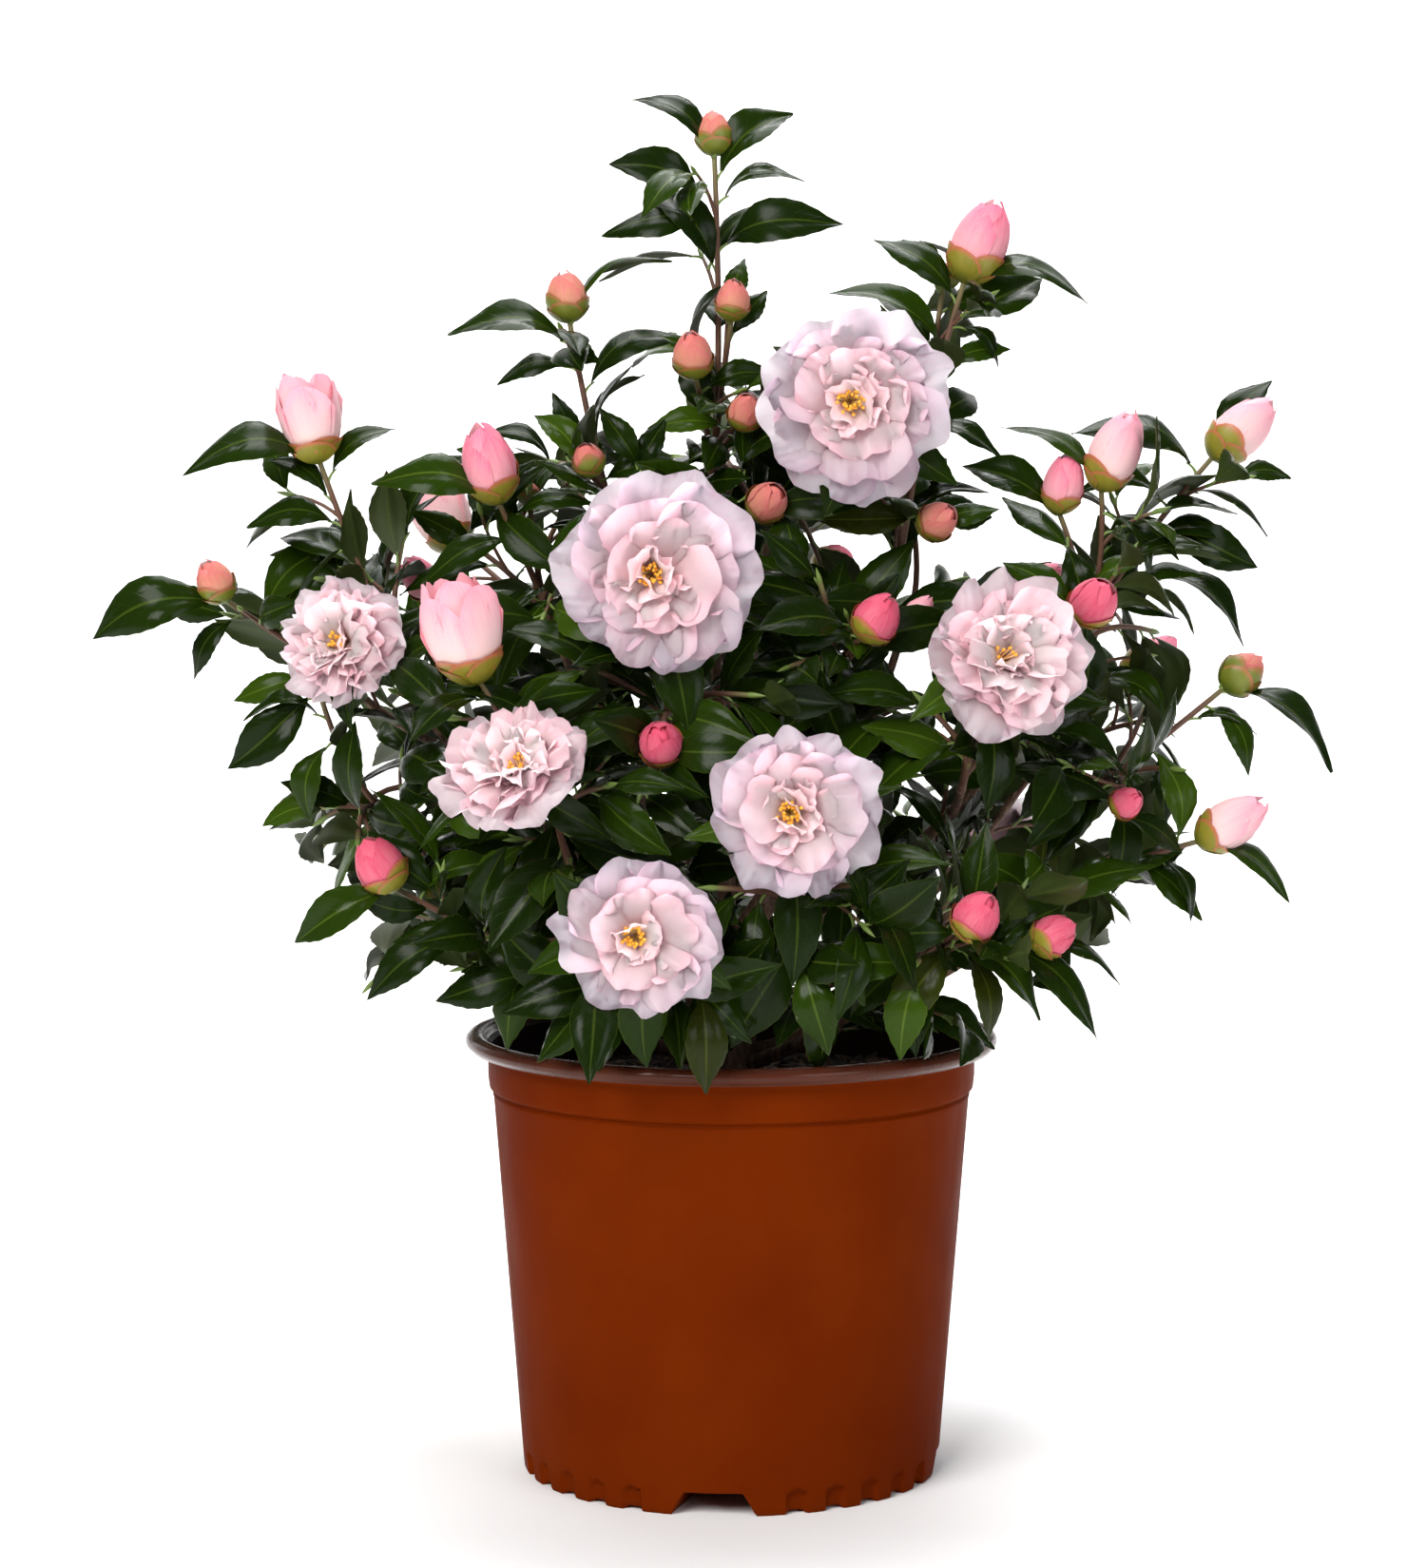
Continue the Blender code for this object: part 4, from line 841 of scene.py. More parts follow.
def make_leaf_bud(heaps, tip, along, size):
    """A slim, pointed leaf bud."""
    path = [tip + along * size * share for share in (-0.1, 0.15, 0.45, 0.8, 1.0)]
    tube(heaps["petioles"], path, [size * r for r in (0.12, 0.17, 0.15, 0.08, 0.02)], 6)


# Growing the crown


AHEAD = 0.14  # how far before a bloom or a bud leaves keep clear of it
POT_CLEAR = 1.5 * MM


def in_pot(point):
    """Whether a point is in the pot's wall, its lip or the mix, or too near them."""
    reach = math.hypot(point.x, point.y)
    if point.z > POT_HEIGHT + POT_CLEAR or reach > LIP_RADIUS + POT_CLEAR:
        return False
    if reach < POT_BAND_RADIUS - POT_WALL - POT_CLEAR:
        return point.z < SOIL_LEVEL + SOIL_CROWN + 3 * MM
    return reach < POT_BAND_RADIUS + POT_CLEAR or point.z > POT_HEIGHT - LIP_DEPTH - POT_CLEAR


def in_sky(point):
    """Whether a point is seen, from the front, where the crown is open."""
    share = FRONT_EYE.y / (FRONT_EYE.y - point.y)
    x, z = (value / MM for value in (FRONT_EYE.lerp(point, share).xz))
    for ring in SKY:
        inside = False
        for (x0, z0), (x1, z1) in zip(ring, ring[1:] + ring[:1]):
            if (z0 > z) != (z1 > z) and x < (x1 - x0) * (z - z0) / (z1 - z0) + x0:
                inside = not inside
        if inside:
            return True
    return False


def in_box(point):
    low, high = cad_box
    return all(low[axis] - OVER_BOX < point[axis] < high[axis] + OVER_BOX for axis in range(3))


def leaf_form(root, tip, face):
    """A leaf's plain form, that stands for it in tests: six points."""
    way = tip - root
    length = way.length
    way = way.normalized()
    face = (face - way * face.dot(way)).normalized()
    side = way.cross(face)
    rib = root + way * length * 0.46 + face * 0.13 * length
    half = 0.23 * length
    base = root + way * 0.1 * length
    edges = (rib + side * half, rib - side * half)
    return [base, tip, *edges, rib + face * 0.5 * MM, rib - face * 1.5 * MM]


FORM_FACES = (
    (0, 2, 4), (0, 4, 3), (1, 4, 2), (1, 3, 4),
    (0, 5, 2), (0, 3, 5), (1, 2, 5), (1, 5, 3),
)


def two_fans(count):
    """The faces from points 0 and 1 to a ring of points that starts at 2."""
    faces = []
    for step in range(count):
        after = (step + 1) % count
        faces += [(0, 2 + after, 2 + step), (1, 2 + step, 2 + after)]
    return faces


class Crown:
    """What has grown so far, and the tests that keep new growth clear of it."""

    def __init__(self):
        self.trees, self.centres, self.radii = [], [], []  # of forms
        self.lows, self.runs, self.thick = [], [], []  # of limbs' and twigs' spans
        self.cones, self.bud_cones = [], []  # the air before blooms and buds

    def take(self, points, faces):
        middle = sum(points, Vector()) / len(points)
        self.trees.append(BVHTree.FromPolygons(points, faces))
        self.centres.append(tuple(middle))
        self.radii.append(max((point - middle).length for point in points))

    def take_line(self, path, radii):
        for low, high, radius in zip(path, path[1:], radii):
            self.lows.append(tuple(low))
            self.runs.append(tuple(high - low))
            self.thick.append(radius)

    def take_bloom(self, tip, facing, width):
        """A bloom's dish, and the air in front of it, that stays free."""
        heart = tip + facing * BLOOM_DEPTH * width
        _, side, rise = axes_at(tip, facing)
        rim = [heart + around(side, rise, math.pi * step / 5) * width * 0.5
               for step in range(10)]
        self.take([tip, heart + facing * 0.16 * width] + rim, two_fans(10))
        self.cones.append((heart, facing, width * 0.46))

    def take_bud(self, tip, along, width):
        if width > 17 * MM and tip.y < 0.03:
            self.bud_cones.append((tip + along * width * 0.6, Vector((0, -1, 0)), width * 0.62))
        _, side, rise = axes_at(tip, along)
        belt = tip + along * width * 0.5
        ring = [belt + way * width * 0.5 for way in (side, rise, -side, -rise)]
        self.take([tip, tip + along * width * 1.2] + ring, two_fans(4))

    def before_bloom(self, points, buds=True):
        """Whether any point hides a bloom, or a bud, from where it faces."""
        for heart, facing, reach in self.cones + (self.bud_cones if buds else []):
            for point in points:
                away = point - heart
                ahead = away.dot(facing)
                if 0 < ahead < AHEAD and (away - facing * ahead).length < reach:
                    return True
        return False

    def near_line(self, points, gap):
        lows, runs = np.array(self.lows), np.array(self.runs)
        away = np.array([tuple(point) for point in points])[:, None] - lows
        share = np.clip((away * runs).sum(axis=2) / (runs ** 2).sum(axis=1), 0, 1)
        far = np.linalg.norm(away - share[..., None] * runs, axis=2) - np.array(self.thick)
        return far.min() < gap

    def clear(self, points, faces, gap=0.4 * MM):
        """Whether a form meets nothing that has grown."""
        if self.near_line(points[1:], gap):
            return False
        middle = sum(points, Vector()) / len(points)
        reach = max((point - middle).length for point in points)
        away = np.linalg.norm(np.array(self.centres) - np.array(middle), axis=1)
        near = np.nonzero(away < np.array(self.radii) + reach)[0]
        tree = BVHTree.FromPolygons(points, faces)
        return not any(tree.overlap(self.trees[index]) for index in near)


GREENS = ("leaves_deep", "leaves_dark", "leaves_mid", "leaves_fresh", "leaves_bronze")
GREEN_SHARES = (0.38, 0.32, 0.19, 0.08, 0.03)
LEAF_TRIES = ((0, 1), (18, 1), (-18, 1), (40, 0.92), (-40, 0.92), (65, 0.85), (-65, 0.85))


def grow_leaf(heaps, crown, rng, foot, along, way, length, must=False):
    """A leaf on its petiole, turned or shortened to find room, or none."""
    face = along * 0.4 + Vector((0, 0, 0.5)) + outward(foot) * 0.6
    roll = rng.gauss(0, 22)
    if must:  # it shows its face to the front
        face = Vector((0, -0.72, 0.70)) + along * 0.15 + outward(foot) * 0.10
        roll *= 0.7
    for turn, size in LEAF_TRIES:
        aim = Matrix.Rotation(math.radians(turn), 3, along) @ way
        up = face - aim * face.dot(aim)
        up = Matrix.Rotation(math.radians(roll), 3, aim) @ up.normalized()
        tip = foot + aim * length * size
        stalk = (aim * 0.75 + along * 0.55).normalized() * PETIOLE
        form = leaf_form(foot + stalk * 0.9, tip, up)
        base, end, left, right, rib = form[:5]
        spots = [end, rib, base.lerp(rib, 0.5), rib.lerp(end, 0.5), left, right]
        spots += [left.lerp(end, 0.5), right.lerp(end, 0.5), rib.lerp(end, 0.8)]
        if any(in_pot(spot) for spot in spots):
            continue
        if crown.before_bloom(spots, buds=not must):
            continue
        if must:
            break
        if end.z < POT_HEIGHT - LIP_DEPTH or not in_box(end) or any(map(in_sky, spots[:4])):
            continue
        if not crown.clear(form, FORM_FACES):
            continue
        break
    else:
        return
    crown.take(form, FORM_FACES)
    green = rng.choices(GREENS, GREEN_SHARES)[0]
    base = foot + stalk
    leaf(heaps[green], rng, base, tip, up, droop=0.10 if must else 0.0)
    end = base + (tip - base).normalized() * 2 * MM
    path = bend(foot, foot + stalk * 0.6 + along * 1.2 * MM, end, 4)
    tube(heaps["petioles"], path, [1.25 * MM, 0.9 * MM, 0.75 * MM, 0.7 * MM, 0.45 * MM], 5)


def clothe(heaps, crown, rng, twig):
    """A shoot's stated leaves, from its tip, and how far down they reach."""
    path, _, bears, stated = twig
    below = FIRST_LEAF
    for words in stated.split():
        foot, along = point_below(path, below)
        hour, _, long = words.partition(":")
        depth = 0.3 * math.sin(any_turn(rng)) + 0.12 * outward(foot).y
        length = rng.uniform(*LEAF_LENGTH)
        if long:
            depth *= 0.5
            length = float(long) * MM
            rise = math.cos(math.radians(float(hour) * 30))
            if bears[0] != "tuft" and rise > 0.35:
                depth = 0.22  # behind its own bud
            if foot.y < -0.1 and rise < -0.5:
                depth = -0.12  # clear of the pot
        way = clock(float(hour), depth)
        grow_leaf(heaps, crown, rng, foot, along, way, length, must=bool(long))
        below += LEAF_GAP
    return below


def follow_rule(heaps, crown, rng, path, below, gap, keep=0.94):
    """Leaves by turns round a path, from this far below its tip down to its foot."""
    turn = any_turn(rng)
    length = length_of(path)
    while below < length * keep:
        foot, along = point_below(path, below)
        side = square_to(along, turn)
        way = (side + along * 0.55 + outward(foot) * 0.2).normalized()
        grow_leaf(heaps, crown, rng, foot, along, way, rng.uniform(*LEAF_LENGTH))
        turn += LEAF_TURN
        below += gap * rng.uniform(0.8, 1.2)


def side_twig(heaps, crown, rng, path, below, lengths):
    """A short leafy twig off a longer one, at this distance below its tip."""
    foot, along = point_below(path, below)
    first = any_turn(rng)
    for attempt in range(SIDE_TRIES):
        side = square_to(along, first + attempt * 2.4)
        way = (side + along * 0.7 + Vector((0, 0, 0.25)) + outward(foot) * 0.25).normalized()
        end = foot + way * rng.uniform(*lengths)
        middle = foot + (along * 0.4 + way * 0.6).normalized() * (end - foot).length * 0.5
        twig = bend(foot, middle, end, SIDE_SPANS)
        form = [foot.lerp(end, 0.3), foot.lerp(end, 0.6), end, end + way * 10 * MM]
        if any(in_sky(spot) or in_pot(spot) or not in_box(spot) for spot in form[1:]):
            continue
        if crown.before_bloom(form) or not crown.clear(form, ((0, 1, 2), (1, 2, 3)), 2 * MM):
            continue
        tube(heaps["twigs"], twig, taper(1.15 * MM, 0.9 * MM, SIDE_SPANS), 6)
        crown.take_line(twig, [1.1 * MM] * (SIDE_SPANS + 1))
        make_leaf_bud(heaps, end, (twig[-1] - twig[-2]).normalized(), rng.uniform(7, 10) * MM)
        follow_rule(heaps, crown, rng, twig, 2 * MM, 9 * MM, keep=0.72)
        return


def grow(heaps, limbs):
    """The whole crown: what the rows state first, and then finer twigs and leaves."""
    crown = Crown()
    for points, radii in limbs.values():
        crown.take_line(points, radii)
    plan = {}
    for index, (name, _, _, tip, shoots) in enumerate(CROWN):
        rng = random.Random(SEED + index)
        if isinstance(shoots[0], str):
            shoots = fan(rng, name, Vector(tip) * MM, shoots)
        plan[name] = plan_twigs(limbs[name], shoots)
        if name.startswith("back"):
            plan[name] = [twig for twig in plan[name] if not in_sky(twig[0][-1])]
    twigs = [twig for group in plan.values() for twig in group]
    for path, radii, bears, _ in twigs:
        crown.take_line(path, radii)
        if bears is None:
            continue
        kind, width, extra = bears
        along = (path[-1] - path[-2]).normalized()
        if kind == "bloom":
            crown.take_bloom(path[-1], Vector(extra).normalized(), width * MM)
        elif kind != "tuft":
            crown.take_bud(path[-1], bud_way(path[-1], along), width * MM)
    rng = random.Random(SEED * 3)
    for path, radii, bears, _ in twigs:
        tube(heaps["twigs"], path, radii, 7)
        if bears is not None:
            bear(heaps, rng, path, *bears)
    shoots = [twig for twig in twigs if twig[2] is not None]
    clothed = [clothe(heaps, crown, rng, twig) for twig in shoots]
    for (path, _, _, _), below in zip(shoots, clothed):
        follow_rule(heaps, crown, rng, path, below, RULE_GAP)
    for group in plan.values():
        for path, _, _, _ in group[1:]:
            for step in range(int(length_of(path) / (SHOOT_STEP * MM))):
                below = (0.75 + step) * SHOOT_STEP * MM
                side_twig(heaps, crown, rng, path, below, (26 * MM, 44 * MM))
    for name, (path, _) in limbs.items():
        if name == "trunk":
            continue
        for step in range(int(length_of(path) * 0.72 / (BOUGH_STEP * MM))):
            below = (0.3 + step) * BOUGH_STEP * MM
            side_twig(heaps, crown, rng, path, below, (30 * MM, 60 * MM))


def bud_way(tip, along):
    """Buds turn up from the way of their shoot, and on the right also out to the right."""
    return (along * 0.5 + Vector((max(0, tip.x) * BUD_LEAN, 0, 0.5))).normalized()


def bear(heaps, rng, path, kind, width, extra):
    """What a shoot bears at its tip."""
    tip, along = path[-1], (path[-1] - path[-2]).normalized()
    if kind == "bloom":
        facing = Vector(extra).normalized()
        sort = "full" if abs(facing.x) > 0.2 else "open"
        make_bloom(heaps, rng, tip, facing, width * MM, sort)
        return
    if kind == "tuft":
        make_leaf_bud(heaps, tip, along, rng.uniform(8, 11) * MM)
        return
    make_bud(heaps, rng, tip, bud_way(tip, along), width * MM, kind, extra)
    side = square_to(along, rng.uniform(0, 6.28))
    make_leaf_bud(heaps, tip - along * 2 * MM + side * 1.5 * MM,
                  (along + side * 0.5).normalized(), rng.uniform(8, 12) * MM)


# Bark


def rough(points):
    """Bark relief on rings of points: long ridges, knots and a little swelling."""
    middle = points.mean(axis=1, keepdims=True)
    away = points - middle
    for ring in range(len(points)):
        for step in range(points.shape[1]):
            x, y, z = points[ring, step]
            long = noise.noise(Vector((x * 420, y * 420, z * 90)))
            fine = noise.noise(Vector((x * 900, y * 900, z * 500)))
            away[ring, step] *= 1 + 0.10 * long + 0.05 * fine
    return middle + away


def make_bark(limbs, finish):
    """The trunk and the boughs, with their flares and the bark's relief."""
    heap = Heap("bark_limbs", [finish])
    for name, (path, radii) in limbs.items():
        spans = max(10, int(length_of(path) / (3.2 * MM)))
        share = np.linspace(0, 1, spans + 1)
        fine = [point_at(path, value)[0] for value in share]
        knots = np.linspace(0, 1, len(radii))
        thick = np.interp(share, knots, radii)
        if name == "trunk":
            flare, sides = np.exp(-share * 14) * 4 * MM, 30
        else:
            flare, sides = np.exp(-share * 22) * 1.6 * MM, 12
        tube(heap, fine, thick + flare, sides, bumps=rough)
    made = heap.make()
    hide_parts("trunk", *("bough_" + row[0] for row in CROWN))


# The pot


def wall_radius(height):
    """The outer radius of the pot's wall, which tapers from the rim to the foot."""
    share = min(1, height / POT_BAND_FOOT)
    return POT_FOOT_RADIUS + (POT_BAND_RADIUS - 2.0 * MM - POT_FOOT_RADIUS) * share


def pot_profile():
    """The pot's section above its fluted foot, from the wall over the lip to the floor."""
    band, top = POT_BAND_FOOT, POT_HEIGHT
    inside = POT_BAND_RADIUS - POT_WALL
    rows = [(height, wall_radius(height)) for height in np.linspace(18 * MM, band - 5 * MM, 14)]
    rows += [(band + rise * MM, wall_radius(band) + reach * MM) for rise, reach in GROOVE]
    low = top - LIP_DEPTH
    rows += [(height, POT_BAND_RADIUS + 0.6 * MM) for height in (band + 7 * MM, low - 5 * MM)]
    rows += [(low - 2.6 * MM, POT_BAND_RADIUS + 0.8 * MM),
             (low - 1.2 * MM, POT_BAND_RADIUS + 2.2 * MM),
             (low - 0.8 * MM, POT_BAND_RADIUS + 6 * MM),
             (low - 0.7 * MM, LIP_RADIUS - 3.2 * MM)]
    for step in range(15):  # the roll of the lip, from under its outer edge to its inner one
        turn = math.radians(-60 + step * 16)
        rows.append((top - LIP_HIGH + LIP_HIGH * math.sin(turn),
                     LIP_RADIUS - LIP_WIDE + LIP_WIDE * math.cos(turn)))
    rows += [(top - 5 * MM, inside + 3 * MM), (top - 7 * MM, inside + 0.6 * MM),
             (top - 12 * MM, inside), (band + 1 * MM, inside), (band - 1 * MM, inside - 1.6 * MM)]
    rows += [(height, wall_radius(height) - POT_WALL)
             for height in (band - 4 * MM, 0.15, 0.09, 0.04, POT_FLOOR)]
    rows.append((POT_FLOOR, 0.0))
    return rows


def foot_edge(turn):
    """At a turn about the pot: how deep a flute is there, of its greatest, how high a notch
    raises the edge, and how far the turn is from the flute's middle, of its half width."""
    step = math.tau / FLUTES
    place = ((turn - NOTCH_TURN) / step + 0.5) % 1 - 0.5
    share = abs(place) * 2 / FLUTE_SHARE
    quarter = math.tau / NOTCHES
    across = abs((turn - NOTCH_TURN + quarter / 2) % quarter - quarter / 2) * POT_FOOT_RADIUS
    if across < NOTCH_FOOT / 2 + 7 * MM:
        share = 2
    hollow = max(0.0, 1 - share ** 6) if share < 1 else 0.0
    slope = (NOTCH_FOOT - NOTCH_TOP) / 2 / NOTCH_HEIGHT
    raised = (NOTCH_FOOT / 2 - across) / slope
    return hollow, min(max(raised, 0.0), NOTCH_HEIGHT), share


def make_pot(finishes):
    """The pot: one closed mesh, turned above, with flutes and notches in its foot."""
    turns = np.arange(POT_SIDES) * math.tau / POT_SIDES
    hollows, raised, shares = np.array([foot_edge(turn) for turn in turns]).T
    lows = np.maximum(raised, FLUTE_LIFT * hollows)
    directions = np.stack([np.cos(turns), np.sin(turns), np.zeros_like(turns)], axis=-1)
    notch = POT_FOOT_RADIUS - NOTCH_REACH
    rings = [(np.zeros(POT_SIDES), np.full(POT_SIDES, notch)),
             (lows, np.full(POT_SIDES, notch + 0.2 * MM)),
             (lows, POT_FOOT_RADIUS - 1.6 * MM - hollows * FLUTE_DEPTH)]
    for rise in (0.0, 0.03, 0.10, 0.25, 0.42, 0.58, 0.70, 0.80, 0.88, 0.95, 1.0):
        height = lows + (POT_SKIRT - lows) * rise
        top = FLUTE_HEIGHT - 3.4 * MM * (1 - np.sqrt(np.clip(1 - shares ** 2, 0, 1)))
        inside = np.clip((top - height) / (1.3 * MM), 0, 1) * (shares < 1)
        depth = FLUTE_DEPTH * hollows * (3 * inside ** 2 - 2 * inside ** 3)
        round_ = 0.9 * MM * (1 - min(1, rise / 0.1)) ** 2
        radius = np.array([wall_radius(value) for value in height]) - depth - round_
        rings.append((height, radius))
    for height, radius in pot_profile():
        rings.append((np.full(POT_SIDES, height), np.full(POT_SIDES, max(radius, 1e-4))))
    points = np.array([directions * radius[:, None] + np.array([0, 0, 1]) * height[:, None]
                       for height, radius in rings])
    points = np.concatenate([points.reshape(-1, 3), [[0, 0, 0], [0, 0, POT_FLOOR]]])
    heights, reach = (np.repeat([ring[part].mean() for ring in rings[:-1]], POT_SIDES)
                      for part in (0, 1))
    lip = (heights > POT_HEIGHT - LIP_DEPTH - 1.5 * MM) & (reach > POT_BAND_RADIUS + 1.5 * MM)
    # Faces past the lip, down the inner wall and over the floor, take the third finish, whose
    # near-black brown is painted shade.
    inside = np.arange(len(heights)) > np.nonzero(lip)[0].max()
    slots = np.concatenate([lip + 2 * inside, np.zeros(2 * POT_SIDES, int)])
    faces = ring_faces(len(rings), POT_SIDES)
    made = make_plain(Heap("pot_shell", finishes), points, faces, slots)
    made.data.set_sharp_from_angle(angle=POT_SHARP)
    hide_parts("pot")


def mix_height(share):
    """The mix's height, this share of the way from its middle to its edge."""
    return SOIL_LEVEL - SOIL_DIP + (SOIL_CROWN + SOIL_DIP) * (1 - share ** 2)


def mix_point(step, turn):
    """A point on the lumpy mix, on this ring, counted out from its middle."""
    reach = MIX_EDGE * step / MIX_RINGS
    x, y = reach * math.cos(turn), reach * math.sin(turn)
    lump = noise.fractal(Vector((x * 70, y * 70, 0.3)), 0.9, 2.1, 4)
    return x, y, mix_height(step / MIX_RINGS) + lump * 2.2 * MM


def make_mix(finish):
    """The potting mix: a lumpy, slightly domed bed, closed below."""
    turns = np.arange(MIX_SIDES) * math.tau / MIX_SIDES
    points = np.array([mix_point(step + 1, turn) for step in range(MIX_RINGS) for turn in turns])
    rim = points[-MIX_SIDES:] - np.array([0, 0, 14 * MM])
    middle = [[0, 0, mix_point(0, 0.0)[2]]]
    base = [[0, 0, SOIL_LEVEL - 22 * MM]]
    ring = np.arange(MIX_SIDES)
    after = (ring + 1) % MIX_SIDES
    low = np.arange(MIX_RINGS - 1)[:, None] * MIX_SIDES
    quads = [low + ring, low + MIX_SIDES + ring, low + MIX_SIDES + after, low + after]
    hub = len(points)
    none, top, first = np.full(MIX_SIDES, -1), hub - MIX_SIDES, hub + 1
    parts = ([np.full(MIX_SIDES, hub), ring, after, none],
             [top + ring, first + ring, first + after, top + after],
             [first + ring, np.full(MIX_SIDES, first + MIX_SIDES), first + after, none])
    faces = [np.stack(corners, axis=-1).reshape(-1, 4) for corners in (quads, *parts)]
    points = np.concatenate([points, middle, rim, base])
    made = make_plain(Heap("potting_mix", [finish]), points, np.concatenate(faces))
    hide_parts("soil")


def make_chips(finishes):
    """Chips of bark, strewn over the mix."""
    rng = random.Random(SEED * 5)
    heap = Heap("bark_chips", finishes)
    for _ in range(CHIPS):
        reach = (MIX_EDGE - 6 * MM) * math.sqrt(rng.uniform(0.01, 1))
        turn = any_turn(rng)
        height = mix_height(reach / MIX_EDGE) + rng.uniform(-1, 1.2) * MM
        place = Vector((reach * math.cos(turn), reach * math.sin(turn), height))
        way = Vector((rng.gauss(0, 1), rng.gauss(0, 1), rng.gauss(0, 0.25))).normalized()
        size = rng.uniform(4, 13) * MM
        path = [place - way * size / 2, place - way * size * 0.2,
                place + way * size * 0.25, place + way * size / 2]
        thick = size * rng.uniform(0.12, 0.26)
        radii = [thick * share for share in (0.45, 1.0, 0.9, 0.4)]
        tube(heap, path, radii, 5, slot=rng.randrange(3))
    made = heap.make()


# Finishes


class Nodes:
    """A material's node tree, with short words for adding to it."""

    def __init__(self, name):
        self.material = bpy.data.materials.new(name)
        self.material.use_nodes = True
        self.tree = self.material.node_tree
        self.shader = self.tree.nodes["Principled BSDF"]

    def new(self, kind, **settings):
        node = self.tree.nodes.new("ShaderNode" + kind)
        for key, value in settings.items():
            setattr(node, key, value)
        return node

    def link(self, out, into):
        self.tree.links.new(out, into)

    def fill(self, sockets, values):
        """Links each value that is a socket, and sets each that is a number or a colour."""
        for socket, value in zip(sockets, values):
            if isinstance(value, bpy.types.NodeSocket):
                self.link(value, socket)
            else:
                socket.default_value = (*value, 1) if isinstance(value, tuple) else value

    def set(self, **values):
        for key, value in values.items():
            words = key.replace("_", " ").title().replace("Ior", "IOR")
            self.shader.inputs[words].default_value = value

    def mix(self, factor, first, second):
        """A mixed colour; each end is a colour or a socket."""
        node = self.new("Mix", data_type="RGBA")
        self.fill([node.inputs[0], node.inputs[6], node.inputs[7]], [factor, first, second])
        return node.outputs[2]

    def ramp(self, value, *stops):
        """A ramp over a value; each stop is a place, and a number or a colour there."""
        node = self.new("ValToRGB")
        elements = node.color_ramp.elements
        while len(elements) < len(stops):
            elements.new(0.5)
        for element, (place, colour) in zip(elements, stops):
            element.position = place
            element.color = (*colour, 1) if isinstance(colour, tuple) else (colour,) * 3 + (1,)
        self.link(value, node.inputs[0])
        return node.outputs[0]

    def math(self, operation, first, second=0.5):
        node = self.new("Math", operation=operation)
        self.fill(node.inputs, [first, second])
        return node.outputs[0]

    def pattern(self):
        """The place in the piece's own pattern: across, and along."""
        uv = self.new("UVMap", uv_map="OFBake")
        parts = self.new("SeparateXYZ")
        self.link(uv.outputs[0], parts.inputs[0])
        return uv.outputs[0], parts.outputs[0], parts.outputs[1]

    def noise(self, vector, scale, detail=3.0, stretch=None):
        if stretch:
            mapping = self.new("Mapping")
            mapping.inputs["Scale"].default_value = stretch
            self.link(vector, mapping.inputs[0])
            vector = mapping.outputs[0]
        node = self.new("TexNoise")
        names = "Scale", "Detail", "Vector"
        self.fill([node.inputs[name] for name in names], [scale, detail, vector])
        return node.outputs[0]

    def place(self):
        return self.new("TexCoord").outputs["Object"]

    def finish(self, colour, rough, height=None, strength=0.0, distance=0.0):
        """The material, with its colour, its roughness and, from a height, its relief."""
        self.link(colour, self.shader.inputs["Base Color"])
        self.link(rough, self.shader.inputs["Roughness"])
        if height is not None:
            node = self.new("Bump")
            names = "Strength", "Distance", "Height"
            self.fill([node.inputs[name] for name in names], [strength, distance, height])
            self.link(node.outputs[0], self.shader.inputs["Normal"])
        return self.material


def off_rib(nodes, across):
    """How far a place on a leaf is from its midrib."""
    return nodes.math("ABSOLUTE", nodes.math("SUBTRACT", across, 0.5))


def leaf_top(name, dark, light, rough):
    """Glossy leaf skin: a pale midrib, faint side veins and a thin pale rim, partly the margin's own
    colour and partly painted highlight.
    """
    nodes = Nodes(name)
    _, across, along = nodes.pattern()
    off = off_rib(nodes, across)
    rib = nodes.ramp(off, (0.0, 1.0), (0.016, 0.75), (0.034, 0.0))
    # The pale rim is partly the blade's paler margin and partly a painted highlight along its edge.
    rim = nodes.ramp(off, (0.478, 0.0), (0.497, 1.0))
    sweep = nodes.math("SUBTRACT", nodes.math("MULTIPLY", along, float(VEINS)),
                       nodes.math("MULTIPLY", off, 3.4))
    veins = nodes.ramp(nodes.math("PINGPONG", sweep, 0.5), (0.0, 1.0), (0.07, 0.0))
    blade = nodes.mix(along, dark, tuple(value * 0.86 for value in dark))
    for mark, share in ((veins, 0.045), (rib, 0.36), (rim, 0.30)):
        blade = nodes.mix(nodes.math("MULTIPLY", mark, share), blade, light)
    cloud = nodes.noise(nodes.place(), 45.0, 2.0)
    satin = nodes.ramp(cloud, (0.35, rough - 0.03), (0.7, rough + 0.09))
    nodes.set(specular_ior_level=0.10)
    return nodes.finish(blade, satin, nodes.math("MULTIPLY", veins, -1.0), 0.12, 0.0004)


def leaf_under(name, colour):
    """The dull underside, with a pale midrib."""
    nodes = Nodes(name)
    _, across, _ = nodes.pattern()
    rib = nodes.ramp(off_rib(nodes, across), (0.0, 1.0), (0.05, 0.0))
    pale = tuple(min(1, value * 1.9) for value in colour)
    return nodes.finish(nodes.mix(nodes.math("MULTIPLY", rib, 0.7), colour, pale),
                        nodes.ramp(rib, (0.0, 0.52), (1.0, 0.6)))


